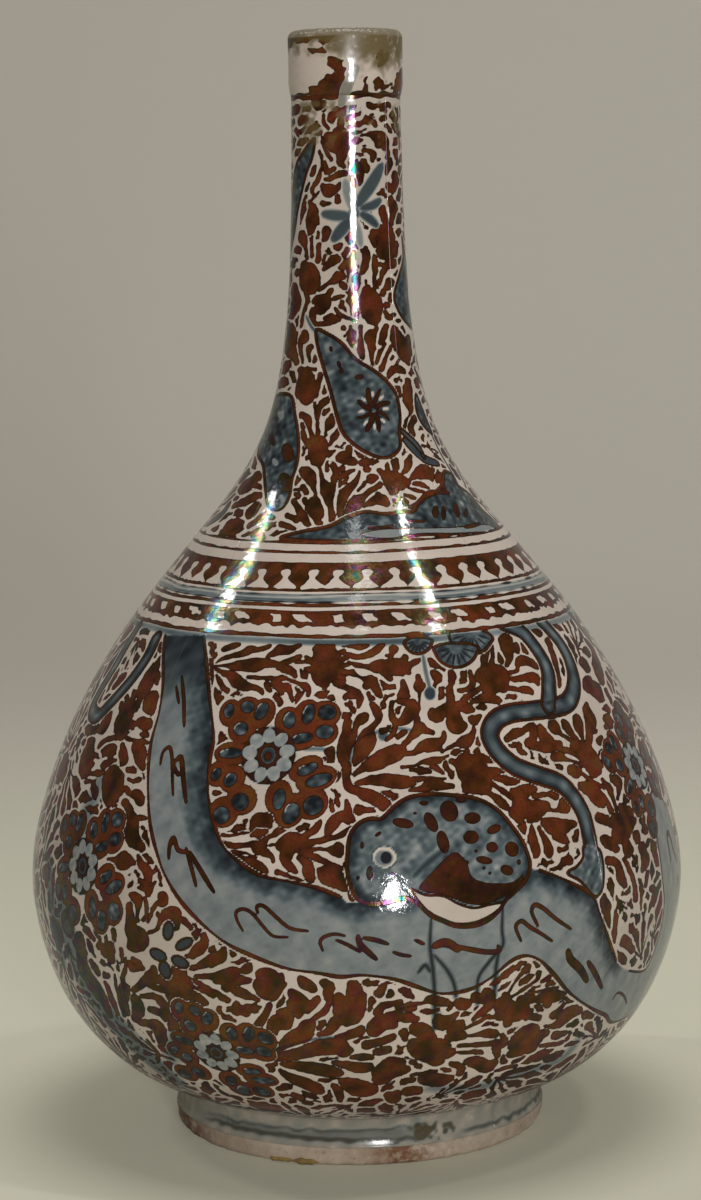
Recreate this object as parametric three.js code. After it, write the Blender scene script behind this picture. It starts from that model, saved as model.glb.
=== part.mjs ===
// A long-necked bottle of glazed stonepaste: a squat pear-shaped body on a low foot ring,
// a tall narrow neck and a plain collar at the mouth. Millimetres, +Z up, origin on the
// surface that it stands on, at the middle of the foot.
//
// The potter made the clay in sections and luted them with slip before firing, so each
// section, each slip joint and each coat of glaze is a piece of its own here.
import * as THREE from "three";

// Heights and radii of the outside
const TOTAL_HEIGHT = 300;
const FOOT_HEIGHT = 13.3;
const FOOT_RADIUS = 51.4;
const FOOT_JOIN_RADIUS = 52;
const BELLY_HEIGHT = 69.5;
const BELLY_RADIUS = 90.1;
const SHOULDER_HEIGHT = 143.5;
const SHOULDER_RADIUS = 59.7;
const SHOULDER_SLOPE = 52; // degrees that the shoulder's outline stands from the horizontal
const NECK_RADIUS = 14.9;
const NECK_SEAM_HEIGHT = 172;
const COLLAR_HEIGHT = 17;
const COLLAR_SWELL = 0.6;

// Fullness of the outline: the lengths of the curves' handles
const UNDERSIDE_FULLNESS = 34;
const UNDERSIDE_RISE = 17; // degrees that the underside rises from the foot
const LOWER_BELLY_FULLNESS = 11;
const UPPER_BELLY_FULLNESS = 30.6;
const SHOULDER_FULLNESS = 10.2;
const THROAT_SWEEP = 64;
const NECK_STRAIGHTNESS = 120;

// Walls
const BELLY_WALL = 6;
const NECK_WALL = 4.6;
const FLOOR_THICKNESS = 8;
const GLAZE = 0.5;
const GLAZE_GAP = 0.06;
const SLIP = 1;
const SLIP_BEAD = 1.2;
const LIP_ROUND = 1.6;

// Foot ring
const FOOT_WIDTH = 7.5;
const FOOT_WAIST = 0.7; // how far the foot's glazed wall is drawn in
const FOOT_BEVEL = 1.8;
const GLAZE_LINE_HEIGHT = 5.2; // where the glaze stops above the bare foot
const INNER_LEAN = 2.5; // how far the inside of the foot leans in towards its top
const RECESS_DEPTH = 9;

// How many steps each section's outline is drawn in, and how many of the neck's are
// glazed inside
const BOWL_STEPS = 8;
const SHOULDER_STEPS = 9;
const NECK_STEPS = 8;
const BORE_GLAZE_STEPS = 2;
const SEGMENTS = 40;

const point = (radius, height) => new THREE.Vector2(radius, height);
const radians = THREE.MathUtils.degToRad;

// The outside of the body and neck, from the foot to the mouth, as three Bezier curves
function outline() {
  const rise = radians(UNDERSIDE_RISE);
  const slope = radians(SHOULDER_SLOPE);
  const join = point(FOOT_JOIN_RADIUS, FOOT_HEIGHT);
  const belly = point(BELLY_RADIUS, BELLY_HEIGHT);
  const shoulder = point(SHOULDER_RADIUS, SHOULDER_HEIGHT);
  const mouth = point(NECK_RADIUS, TOTAL_HEIGHT);
  const along = (from, angle, length) =>
    point(from.x + Math.cos(angle) * length, from.y + Math.sin(angle) * length);
  const path = new THREE.CurvePath();
  path.add(
    new THREE.CubicBezierCurve(
      join,
      along(join, rise, UNDERSIDE_FULLNESS),
      point(BELLY_RADIUS, BELLY_HEIGHT - LOWER_BELLY_FULLNESS),
      belly,
    ),
  );
  path.add(
    new THREE.CubicBezierCurve(
      belly,
      point(BELLY_RADIUS, BELLY_HEIGHT + UPPER_BELLY_FULLNESS),
      along(shoulder, -slope, SHOULDER_FULLNESS),
      shoulder,
    ),
  );
  path.add(
    new THREE.CubicBezierCurve(
      shoulder,
      along(shoulder, Math.PI - slope, THROAT_SWEEP),
      point(NECK_RADIUS, TOTAL_HEIGHT - NECK_STRAIGHTNESS),
      mouth,
    ),
  );
  return path;
}

const OUTSIDE = outline();

// How far along the outline, from 0 to 1, it reaches a height
function shareAt(height) {
  let low = 0;
  let high = 1;
  for (let i = 0; i < 40; i++) {
    const middle = (low + high) / 2;
    if (OUTSIDE.getPointAt(middle).y < height) low = middle;
    else high = middle;
  }
  return (low + high) / 2;
}

// Points of the outline between two heights, with the outward normal of each
function stations(fromHeight, toHeight, count) {
  const from = shareAt(fromHeight);
  const to = shareAt(toHeight);
  const found = [];
  for (let i = 0; i <= count; i++) {
    const share = from + ((to - from) * i) / count;
    const place = OUTSIDE.getPointAt(share);
    const tangent = OUTSIDE.getTangentAt(share);
    const normal = point(tangent.y, -tangent.x);
    if (i === 0) place.y = fromHeight;
    if (i === count) place.y = toHeight;
    found.push({ place, normal });
  }
  return found;
}

// The wall thins from the belly to the neck
function wallAt(height) {
  const share = THREE.MathUtils.smoothstep(height, BELLY_HEIGHT, NECK_SEAM_HEIGHT);
  return THREE.MathUtils.lerp(BELLY_WALL, NECK_WALL, share);
}

// The outline moved inwards by a depth. Its ends keep their height, so that seams stay flat.
function sunk(list, depthOf, keepEnds = true) {
  return list.map(({ place, normal }, i) => {
    const depth = depthOf(place.y);
    const end = keepEnds && (i === 0 || i === list.length - 1);
    if (end) return point(place.x - depth / Math.max(normal.x, 0.3), place.y);
    return point(place.x - normal.x * depth, place.y - normal.y * depth);
  });
}

const clayDepth = () => GLAZE + GLAZE_GAP;
const glazeDepth = () => GLAZE;
const boreDepth = (height) => wallAt(height) + GLAZE;

// A body of revolution about Z from a profile that closes on itself
function revolve(profile) {
  const closed = [...profile, profile[0].clone()];
  return new THREE.LatheGeometry(closed, SEGMENTS).rotateX(Math.PI / 2);
}

// A body of revolution about Z from a profile that starts and ends on the axis
function revolveSolid(profile) {
  return new THREE.LatheGeometry(profile, SEGMENTS).rotateX(Math.PI / 2);
}

// Round points from one corner of an edge to the next, as a quarter of a circle
function quarterRound(centre, radius, fromDegrees, toDegrees, steps) {
  const made = [];
  for (let i = 0; i <= steps; i++) {
    const angle = radians(fromDegrees + ((toDegrees - fromDegrees) * i) / steps);
    made.push(
      point(centre.x + Math.cos(angle) * radius, centre.y + Math.sin(angle) * radius),
    );
  }
  return made;
}

// Where the sections of clay meet, as the middle of each slip joint
const COLLAR_SEAM_HEIGHT = TOTAL_HEIGHT - COLLAR_HEIGHT;
const HALF_SLIP = SLIP / 2;
const FOOT_SEAT_HEIGHT = FOOT_HEIGHT - SLIP;

// Places shared by the foot, its slip and the glaze in the recess
const FOOT_INNER_RADIUS = FOOT_RADIUS - FOOT_WIDTH;
const FOOT_INNER_TOP = FOOT_INNER_RADIUS - INNER_LEAN;
const CLAY_FOOT_JOIN = FOOT_JOIN_RADIUS - GLAZE - GLAZE_GAP;

// The glazed wall of the foot, drawn in a little between its two ends
function footWall() {
  return [
    point(FOOT_RADIUS, GLAZE_LINE_HEIGHT),
    point(FOOT_RADIUS - FOOT_WAIST, GLAZE_LINE_HEIGHT + 1.7),
    point(FOOT_RADIUS - FOOT_WAIST, FOOT_SEAT_HEIGHT - 2.6),
    point(FOOT_JOIN_RADIUS - FOOT_WAIST, FOOT_SEAT_HEIGHT),
    point(FOOT_JOIN_RADIUS, FOOT_HEIGHT),
  ];
}

// The clay behind the glaze, up to the slip joint
function clayFootWall() {
  return footWall()
    .slice(0, -1)
    .map((p) => point(p.x - GLAZE - GLAZE_GAP, p.y));
}

function footRing() {
  const bareRadius = FOOT_RADIUS + 0.1;
  return revolve([
    point(FOOT_INNER_RADIUS + 1, 0),
    point(FOOT_RADIUS - FOOT_BEVEL, 0),
    point(bareRadius - FOOT_BEVEL / 4, FOOT_BEVEL),
    point(bareRadius, GLAZE_LINE_HEIGHT - 0.5),
    point(bareRadius - 0.3, GLAZE_LINE_HEIGHT - GLAZE_GAP),
    ...clayFootWall(),
    point(FOOT_INNER_TOP, FOOT_SEAT_HEIGHT),
    point(FOOT_INNER_RADIUS, 1.2),
  ]);
}

function footSlip() {
  return revolve([
    point(FOOT_INNER_TOP - SLIP_BEAD, FOOT_SEAT_HEIGHT),
    point(CLAY_FOOT_JOIN - FOOT_WAIST, FOOT_SEAT_HEIGHT),
    point(CLAY_FOOT_JOIN, FOOT_HEIGHT),
    point(FOOT_INNER_TOP - SLIP_BEAD, FOOT_HEIGHT),
    point(FOOT_INNER_TOP - SLIP_BEAD * 1.6, (FOOT_SEAT_HEIGHT + FOOT_HEIGHT) / 2),
  ]);
}

// The thrown bowl below the widest seam. Its floor is cut up into the foot's recess.
function lowerBowl() {
  const seam = BELLY_HEIGHT - HALF_SLIP;
  const list = stations(FOOT_HEIGHT, seam, BOWL_STEPS);
  const outer = sunk(list, clayDepth);
  outer[0] = point(CLAY_FOOT_JOIN, FOOT_HEIGHT);
  const floor = FOOT_HEIGHT + FLOOR_THICKNESS;
  const inner = sunk(list, boreDepth)
    .filter((p) => p.y > floor + 1.5)
    .reverse();
  const lowest = inner[inner.length - 1];
  return revolveSolid([
    point(0, FOOT_HEIGHT),
    ...outer,
    ...inner,
    point(lowest.x - 12, floor + 1),
    point(lowest.x - 26, floor),
    point(0, floor),
  ]);
}

function ringBetween(fromHeight, toHeight, count, bead = 0) {
  const list = stations(fromHeight, toHeight, count);
  const outer = sunk(list, clayDepth);
  const inner = sunk(list, boreDepth).reverse();
  if (bead > 0) {
    const middle = (fromHeight + toHeight) / 2;
    const reach = Math.min(inner[0].x, inner[1].x) - bead;
    inner.splice(1, 0, point(reach, middle));
  }
  return revolve([...outer, ...inner]);
}

// Slip squeezes out of a joint into a bead where no tool can reach to wipe it away.
function slipAt(height, bead) {
  return ringBetween(height - HALF_SLIP, height + HALF_SLIP, 1, bead);
}

function shoulder() {
  return ringBetween(
    BELLY_HEIGHT + HALF_SLIP,
    NECK_SEAM_HEIGHT - HALF_SLIP,
    SHOULDER_STEPS,
  );
}

function neckStations() {
  return stations(NECK_SEAM_HEIGHT + HALF_SLIP, COLLAR_SEAM_HEIGHT - HALF_SLIP, NECK_STEPS);
}

function neck() {
  const list = neckStations();
  const outer = sunk(list, clayDepth);
  const inner = sunk(list, boreDepth).reverse();
  return revolve([...outer, ...inner]);
}

// The collar stands a little proud of the neck and ends in a rounded lip.
const LIP_TOP = TOTAL_HEIGHT - GLAZE - GLAZE_GAP;
const COLLAR_OUTER = NECK_RADIUS + COLLAR_SWELL - GLAZE - GLAZE_GAP;
const BORE_RADIUS = NECK_RADIUS - NECK_WALL - GLAZE;

function neckRadiusAt(height) {
  return OUTSIDE.getPointAt(shareAt(height)).x;
}

// The rounded lip, from outside to inside
function lip(outerRadius, boreRadius, top, round) {
  return [
    ...quarterRound(point(outerRadius - round, top - round), round, 0, 90, 3),
    ...quarterRound(point(boreRadius + round, top - round), round, 90, 180, 3),
  ];
}

function mouthCollar() {
  const base = COLLAR_SEAM_HEIGHT + HALF_SLIP;
  const outer = neckRadiusAt(base);
  return revolve([
    point(outer - GLAZE - GLAZE_GAP, base),
    point(COLLAR_OUTER, base + 2),
    ...lip(COLLAR_OUTER, BORE_RADIUS, LIP_TOP, LIP_ROUND),
    point(outer - NECK_WALL - GLAZE, base),
  ]);
}

// One coat from the glaze line on the foot to the seam under the collar
function outerGlaze() {
  const body = [
    ...stations(FOOT_HEIGHT, BELLY_HEIGHT - HALF_SLIP, BOWL_STEPS),
    ...stations(BELLY_HEIGHT + HALF_SLIP, NECK_SEAM_HEIGHT - HALF_SLIP, SHOULDER_STEPS),
    ...neckStations(),
  ];
  const outer = body.map((station) => station.place.clone());
  const inner = sunk(body, glazeDepth, false).reverse();
  const top = outer[outer.length - 1];
  inner[0] = point(top.x - GLAZE, top.y);
  inner[inner.length - 1] = point(FOOT_JOIN_RADIUS - GLAZE, FOOT_HEIGHT - GLAZE_GAP);
  const foot = footWall().slice(0, -1);
  const footInside = foot.map((p) => point(p.x - GLAZE, p.y)).reverse();
  return revolve([...foot, ...outer, ...inner, ...footInside]);
}

// A second coat covers the collar, laps over the lip and runs down inside the neck.
function mouthGlaze() {
  const base = COLLAR_SEAM_HEIGHT - HALF_SLIP;
  const seam = neckRadiusAt(base);
  const round = LIP_ROUND + GLAZE_GAP;
  const bore = sunk(neckStations(), boreDepth).slice(-BORE_GLAZE_STEPS - 1);
  const behind = bore.map((p) => point(p.x - GLAZE_GAP, p.y));
  const face = behind.map((p) => point(p.x - GLAZE, p.y)).reverse();
  return revolve([
    point(seam, base),
    point(COLLAR_OUTER + GLAZE + GLAZE_GAP, base + 3),
    ...lip(
      COLLAR_OUTER + GLAZE + GLAZE_GAP,
      BORE_RADIUS - GLAZE - GLAZE_GAP,
      TOTAL_HEIGHT,
      round + GLAZE,
    ),
    ...face,
    ...behind,
    ...lip(
      COLLAR_OUTER + GLAZE_GAP,
      BORE_RADIUS - GLAZE_GAP,
      LIP_TOP + GLAZE_GAP,
      round,
    ).reverse(),
    point(COLLAR_OUTER + GLAZE_GAP, base + 3),
    point(seam - GLAZE, base),
  ]);
}

// The underside inside the foot ring is glazed as well.
function recessGlaze() {
  const top = FOOT_SEAT_HEIGHT - GLAZE_GAP;
  const wallTop = FOOT_INNER_TOP - GLAZE_GAP;
  return revolveSolid([
    point(0, top - GLAZE),
    point(wallTop - GLAZE - 2, top - GLAZE),
    point(wallTop, top - GLAZE * 2),
    point(wallTop, top),
    point(0, top),
  ]);
}

const MATERIALS = {
  clay: { color: 0xcdb3a2, roughness: 0.9, metalness: 0 },
  slip: { color: 0xd9c9b8, roughness: 0.95, metalness: 0 },
  glaze: { color: 0x6b4436, roughness: 0.18, metalness: 0 },
  paleGlaze: { color: 0xcfcbbf, roughness: 0.25, metalness: 0 },
};

const bottle = new THREE.Group();

function place(name, geometry, material) {
  const mesh = new THREE.Mesh(
    geometry,
    new THREE.MeshStandardMaterial(MATERIALS[material]),
  );
  mesh.name = name;
  bottle.add(mesh);
}

place("foot_ring", footRing(), "clay");
place("foot_slip", footSlip(), "slip");
place("lower_bowl", lowerBowl(), "clay");
place("belly_slip", slipAt(BELLY_HEIGHT, SLIP_BEAD), "slip");
place("shoulder", shoulder(), "clay");
place("neck_slip", slipAt(NECK_SEAM_HEIGHT, SLIP_BEAD), "slip");
place("neck", neck(), "clay");
place("collar_slip", slipAt(COLLAR_SEAM_HEIGHT, 0), "slip");
place("mouth_collar", mouthCollar(), "clay");
place("outer_glaze", outerGlaze(), "glaze");
place("mouth_glaze", mouthGlaze(), "paleGlaze");
place("recess_glaze", recessGlaze(), "paleGlaze");

export default bottle;
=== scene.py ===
import math
import bpy
import numpy as np
from mathutils import Matrix, Vector


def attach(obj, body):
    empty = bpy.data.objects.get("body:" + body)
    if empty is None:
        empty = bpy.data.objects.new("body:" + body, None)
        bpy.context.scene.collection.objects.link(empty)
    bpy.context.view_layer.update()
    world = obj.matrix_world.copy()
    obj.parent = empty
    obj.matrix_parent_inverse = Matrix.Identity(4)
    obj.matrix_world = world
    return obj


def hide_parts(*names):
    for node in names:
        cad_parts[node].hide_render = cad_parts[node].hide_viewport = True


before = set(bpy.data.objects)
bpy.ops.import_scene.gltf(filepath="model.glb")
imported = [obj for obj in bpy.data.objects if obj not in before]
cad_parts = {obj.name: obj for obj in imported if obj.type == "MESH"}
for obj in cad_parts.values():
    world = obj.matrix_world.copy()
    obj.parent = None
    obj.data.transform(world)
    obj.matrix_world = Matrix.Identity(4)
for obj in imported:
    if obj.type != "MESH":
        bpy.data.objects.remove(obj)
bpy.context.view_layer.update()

MM = 0.001
RNG = np.random.default_rng(1640)

# The bottle's outline. Lengths are in mm here and on the chart.
GLAZE_LINE = 5.2  # where the glaze stops above the bare foot
GLAZE_TOP = 282.5  # where the collar's own coat takes over
COAT = 0.45  # thickness of the glaze
FOOT_TOP = 13.3
FOOT_JOIN, BELLY, SHOULDER, MOUTH = (52, FOOT_TOP), (90.1, 69.5), (59.7, 143.5), (14.9, 300)
UNDERSIDE_RISE, SHOULDER_SLOPE = math.radians(17), math.radians(52)


def bezier(a, b, c, d, count=400):
    t = np.linspace(0, 1, count)[:, None]
    a, b, c, d = (np.array(p, float) for p in (a, b, c, d))
    return a * (1 - t) ** 3 + 3 * b * t * (1 - t) ** 2 + 3 * c * t * t * (1 - t) + d * t ** 3


def outside():
    """Radius and height of the glazed outside, from the glaze line on the foot to the mouth."""
    under = (FOOT_JOIN[0] + 34 * math.cos(UNDERSIDE_RISE), FOOT_JOIN[1] + 34 * math.sin(UNDERSIDE_RISE))
    slope = np.array([math.cos(SHOULDER_SLOPE), -math.sin(SHOULDER_SLOPE)])
    down, up = SHOULDER + 10.2 * slope, SHOULDER - 64 * slope
    foot = bezier((51.4, GLAZE_LINE), (50.4, 7.6), (50.4, 11.4), FOOT_JOIN, 60)
    low = bezier(FOOT_JOIN, under, (90.1, 58.5), BELLY)
    middle = bezier(BELLY, (90.1, 100.1), down, SHOULDER)
    top = bezier(SHOULDER, up, (14.9, 180), MOUTH)
    return np.vstack([foot, low[1:], middle[1:], top[1:]])


PATH = outside()
PATH_S = np.concatenate([[0], np.cumsum(np.hypot(*np.diff(PATH, axis=0).T))])


def s_of_z(z):
    return np.interp(z, PATH[:, 1], PATH_S)


def r_of_s(s):
    return np.interp(s, PATH_S, PATH[:, 0])


def z_of_s(s):
    return np.interp(s, PATH_S, PATH[:, 1])


def r_of_z(z):
    return np.interp(z, PATH[:, 1], PATH[:, 0])


# The camera, as it stood for the photograph.
PHOTO_HEIGHT, PHOTO_CENTRE = 1200, (350.5, 600)
FOCAL_PX = 3000.0
EYE = np.array([-0.64, -822.0, 248.0])
PITCH, ROLL = math.radians(7.13), math.radians(0.81)
FORWARD = np.array([0, math.cos(PITCH), -math.sin(PITCH)])
LEVEL_UP = np.array([0, math.sin(PITCH), math.cos(PITCH)])
LEVEL_RIGHT = np.array([1.0, 0, 0])
CAM_UP = LEVEL_UP * math.cos(ROLL) + LEVEL_RIGHT * math.sin(ROLL)
CAM_RIGHT = LEVEL_RIGHT * math.cos(ROLL) - LEVEL_UP * math.sin(ROLL)
ALONG_RAY = np.arange(700, 900, 0.25)  # distances from the eye that are tried


def on_surface(points):
    """Photograph pixels to (angle, arc length) on the front of the bottle."""
    right, down = (np.atleast_2d(np.array(points, float)) - PHOTO_CENTRE).T
    rays = FORWARD + np.outer(right, CAM_RIGHT) / FOCAL_PX - np.outer(down, CAM_UP) / FOCAL_PX
    found = []
    for ray in rays:
        q = EYE + ALONG_RAY[:, None] * ray
        gap = np.hypot(q[:, 0], q[:, 1]) - r_of_z(q[:, 2])
        hit = np.where(gap < 0)[0]
        x, y, z = q[hit[0] if len(hit) else int(np.argmin(gap))]
        found.append((math.atan2(x, -y), float(s_of_z(z))))
    return np.array(found)


def make_camera():
    data = bpy.data.cameras.new("camera")
    data.sensor_width = 36.0
    data.lens = data.sensor_width * FOCAL_PX / PHOTO_HEIGHT
    data.clip_start, data.clip_end = 0.05, 20
    cam = bpy.data.objects.new("camera", data)
    bpy.context.scene.collection.objects.link(cam)
    axes = Matrix((CAM_RIGHT, CAM_UP, -FORWARD)).transposed().to_4x4()
    cam.matrix_world = Matrix.Translation(Vector(EYE * MM)) @ axes
    bpy.context.scene.camera = cam


# The chart that is painted on: angle round the bottle by arc length up its outline.
STEP = 0.44  # between rows
REACH = 4.0  # how far from a line or an outline its distance is worked out
FEW_POINTS = 14  # a shorter curve is measured over its whole patch at once
NOTHING = -9  # of a field that holds signed distances
FIELDS = {"occupied": NOTHING, "lustre": NOTHING, "blue": 0, "ink": NOTHING, "stain": 0, "gold": 0}


class Patch:
    """Part of a belt, with its arc lengths as a column and its angles as a row. d is how far
    inside a stroke or an area each of its points lies."""

    def __init__(self, belt, rows, cols, angles, d=None):
        self.belt, self.at, self.d = belt, (rows, cols), d
        self.s, self.r, self.z = (a[rows][:, None] for a in (belt.s, belt.r, belt.z))
        self.t = angles[None, :]

    def get(self, name):
        return self.belt.f[name][self.at]

    def put(self, name, value):
        self.belt.f[name][self.at] = value

    def lift(self, name, value):
        self.put(name, np.maximum(self.get(name), value))

    def sink(self, name, value):
        self.put(name, np.minimum(self.get(name), value))


class Belt:
    """A belt of the outside with one number of columns. Its fields are what is painted there."""

    def __init__(self, s0, s1, columns):
        rows = int(round((s1 - s0) / STEP)) + 1
        self.s, self.n = np.linspace(s0, s1, rows), columns
        self.r, self.z = r_of_s(self.s), z_of_s(self.s)
        self.f = {}
        for name, value in FIELDS.items():
            self.field(name, value)

    def field(self, name, value=0.0):
        self.f[name] = np.full((len(self.s), self.n), value, np.float32)

    def angle(self, column):
        return column * 2 * math.pi / self.n - math.pi

    def whole(self):
        return Patch(self, slice(None), slice(None), self.angle(np.arange(self.n)))

    def patch(self, s0, s1, t0, t1):
        """The rows from s0 to s1 and the columns from t0 to t1, or None where no row lies there."""
        i0, i1 = np.searchsorted(self.s, (s0, s1))
        if i1 <= i0:
            return None
        step = 2 * math.pi / self.n
        j0, j1 = math.floor((t0 + math.pi) / step), math.ceil((t1 + math.pi) / step)
        j = np.arange(j0, min(j1, j0 + self.n - 1) + 1)
        return Patch(self, slice(i0, i1), j % self.n, j * step - math.pi)


def height_where(radius):
    """Arc length at which the upper part of the bottle gets narrower than a radius."""
    return float(PATH_S[np.argmax((PATH[:, 1] > 100) & (PATH[:, 0] < radius))])


S_SHOULDER, S_NECK, S_TOP = height_where(44), height_where(21.5), float(s_of_z(GLAZE_TOP))
BELTS = [Belt(0, S_SHOULDER, 1280), Belt(S_SHOULDER, S_NECK, 640), Belt(S_NECK, S_TOP, 320),
         Belt(S_TOP, float(s_of_z(299.0)), 320)]


def smooth(points, closed=True, per=7):
    """A Catmull-Rom curve through the points."""
    p = np.array(points, float)
    n = len(p)
    out = []
    for i in range(n if closed else n - 1):
        if closed:
            a, b, c, d = p[i - 1], p[i], p[(i + 1) % n], p[(i + 2) % n]
        else:
            a, b, c, d = p[max(i - 1, 0)], p[i], p[i + 1], p[min(i + 2, n - 1)]
        square, cube = 2 * a - 5 * b + 4 * c - d, 3 * b - a - 3 * c + d
        for t in np.arange(per) / per:
            out.append(0.5 * (2 * b + (c - a) * t + square * t * t + cube * t ** 3))
    if not closed:
        out.append(p[-1])
    return np.array(out)


def mirrored(shape):
    """The same shape on the back: angle t becomes pi - t."""
    out = shape.copy()
    out[:, 0] = math.pi - out[:, 0]
    return out


def both(shape):
    return shape, mirrored(shape)


def near_line(curve, radii=0.0, closed=False, reach=REACH, view=np.eye(2)):
    """Yields each belt's patch round a curve with how far inside the stroke each point is.

    radii is the stroke's half width, at each of the curve's points or at all. With a view,
    lengths are measured as the camera sees them."""
    wide, tall = np.linalg.norm(np.linalg.inv(view), axis=1)
    pts = np.vstack([curve, curve[:1]]) if closed else curve
    radii = np.full(len(pts), float(radii)) if np.isscalar(radii) else radii
    big = float(radii.max()) + reach
    rise = big * tall
    s0, s1 = pts[:, 1].min() - rise, pts[:, 1].max() + rise
    for belt in BELTS:
        a, b = max(s0, belt.s[0]), min(s1, belt.s[-1] + 1e-6)
        if b <= a:
            continue
        first, last = np.searchsorted(belt.s, (a, b))
        spread = big * wide / belt.r[first:max(last, first + 1)].min()
        p = belt.patch(a, b + 1e-6, pts[:, 0].min() - spread, pts[:, 0].max() + spread)
        if p is not None:
            measure(p, pts, radii, reach, view, (spread, rise) if len(pts) > FEW_POINTS else None)
            yield p


def measure(p, pts, radii, reach, view, margins):
    """Sets p.d, one segment of the curve at a time, near the segment alone if margins are given."""
    p.d = np.full((len(p.s), p.t.size), -reach, np.float32)
    rows = cols = slice(None)
    for (t0, s0), (t1, s1), r0, r1 in zip(pts, pts[1:], radii, radii[1:]):
        if margins:
            spread, rise = margins
            rows = slice(*np.searchsorted(p.s[:, 0], (min(s0, s1) - rise, max(s0, s1) + rise)))
            cols = slice(*np.searchsorted(p.t[0], (min(t0, t1) - spread, max(t0, t1) + spread)))
        s, r, t = p.s[rows], p.r[rows], p.t[0, cols]
        if not len(s) or not len(t):
            continue
        px, py = r * (t - t0), s - s0
        px, py = view[0, 0] * px + view[0, 1] * py, view[1, 0] * px + view[1, 1] * py
        qx, qy = view @ (float(r.mean()) * (t1 - t0), s1 - s0)
        u = np.clip((px * qx + py * qy) / (qx * qx + qy * qy + 1e-9), 0, 1)
        d = r0 + u * (r1 - r0) - np.hypot(px - u * qx, py - u * qy)
        p.d[rows, cols] = np.maximum(p.d[rows, cols], d)


def inside_of(p, polygon):
    """Even-odd test of a patch's points against a closed polygon."""
    s, t = p.s[:, 0], p.t
    inside = np.zeros((len(s), t.size), bool)
    for (t0, s0), (t1, s1) in zip(polygon, np.roll(polygon, -1, axis=0)):
        hit = np.where((s >= min(s0, s1)) & (s < max(s0, s1)))[0]
        if len(hit):
            cross = t0 + (s[hit] - s0) * (t1 - t0) / (s1 - s0)
            inside[hit] ^= t > cross[:, None]
    return inside


def near_area(polygon):
    """Yields each belt's patch round a closed polygon with the signed distance, positive inside."""
    for p in near_line(polygon, closed=True):
        p.d = np.where(inside_of(p, polygon), -p.d, p.d)
        yield p


def ramp(x, lo, hi):
    t = np.clip((x - lo) / (hi - lo), 0, 1)
    return t * t * (3 - 2 * t)


def area(polygon, blue=None, lustre=False, ink=False, reserve=True, edge=None, soft=0.35,
         clear=False, shade=None, gold=False):
    """Fills an area. edge is the half width of a lustre line drawn along its outline."""
    for p in near_area(polygon):
        if clear:
            p.sink("lustre", -p.d)
            p.sink("ink", -p.d)
            p.put("blue", p.get("blue") * (1 - ramp(p.d, -soft, soft)))
        if blue is not None:
            amount = ramp(p.d, -soft, soft) * blue
            p.lift("blue", amount * shade(p) if shade else amount)
        if lustre:
            p.lift("lustre", p.d)
        if gold:
            p.lift("gold", ramp(p.d, -0.5, 0.5))
        if ink:
            p.lift("ink", p.d)
        if edge:
            p.lift("lustre", edge - np.abs(p.d))
        if reserve:
            p.lift("occupied", p.d + (edge or 0))


def stroke(curve, radii, field="lustre", blue=None, reserve=True, edge=None, soft=0.3):
    """A brush stroke in one field, or in blue with a lustre line of half width edge along it."""
    for p in near_line(curve, radii):
        if blue is None:
            p.lift(field, p.d)
        else:
            p.lift("blue", ramp(p.d, -soft, soft) * blue)
            if edge:
                p.lift("lustre", edge - np.abs(p.d))
        if reserve:
            p.lift("occupied", p.d + (edge or 0))


class Wander:
    """Smooth noise over the surface, from a few plane waves in space; size is in mm."""

    def __init__(self, size, waves, seed):
        rng = np.random.default_rng(seed)
        way = rng.normal(size=(waves, 3))
        way /= np.linalg.norm(way, axis=1)[:, None]
        self.k = way * (2 * math.pi / size * rng.uniform(0.7, 1.5, waves))[:, None]
        self.p = rng.uniform(0, 2 * math.pi, waves)
        self.scale = 1 / math.sqrt(waves / 2)

    def __call__(self, s, t):
        r, z = r_of_s(s), z_of_s(s)
        x, y = r * np.sin(t), -r * np.cos(t)
        total = 0
        for (kx, ky, kz), p in zip(self.k, self.p):
            total = total + np.cos(kx * x + ky * y + kz * z + p)
        return total * self.scale


slow = Wander(28, 10, 4)
wobble = Wander(6, 14, 5)
tremble = Wander(2.3, 16, 6)


def mottled(p):
    return 1 + 0.12 * wobble(p.s, p.t) + 0.14 * tremble(p.s, p.t)


def turned(x, y, turn):
    c, n = math.cos(turn), math.sin(turn)
    return c * x - n * y, n * x + c * y


def local(t0, s0, points, turn=0.0, scale=1.0, flip=1):
    """Points given in mm round a place on the bottle, as chart points."""
    p = np.atleast_2d(np.array(points, float)) * scale
    x, y = turned(p[:, 0] * flip, p[:, 1], turn)
    s = s0 + y
    return np.column_stack([t0 + x / np.maximum(r_of_s(s), 5), s])


def oval(cx, cy, a, b, turn=0.0):
    t = np.linspace(0, 2 * math.pi, 18, endpoint=False)
    x, y = turned(a * np.cos(t), b * np.sin(t), turn)
    return np.column_stack([cx + x, cy + y])


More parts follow.
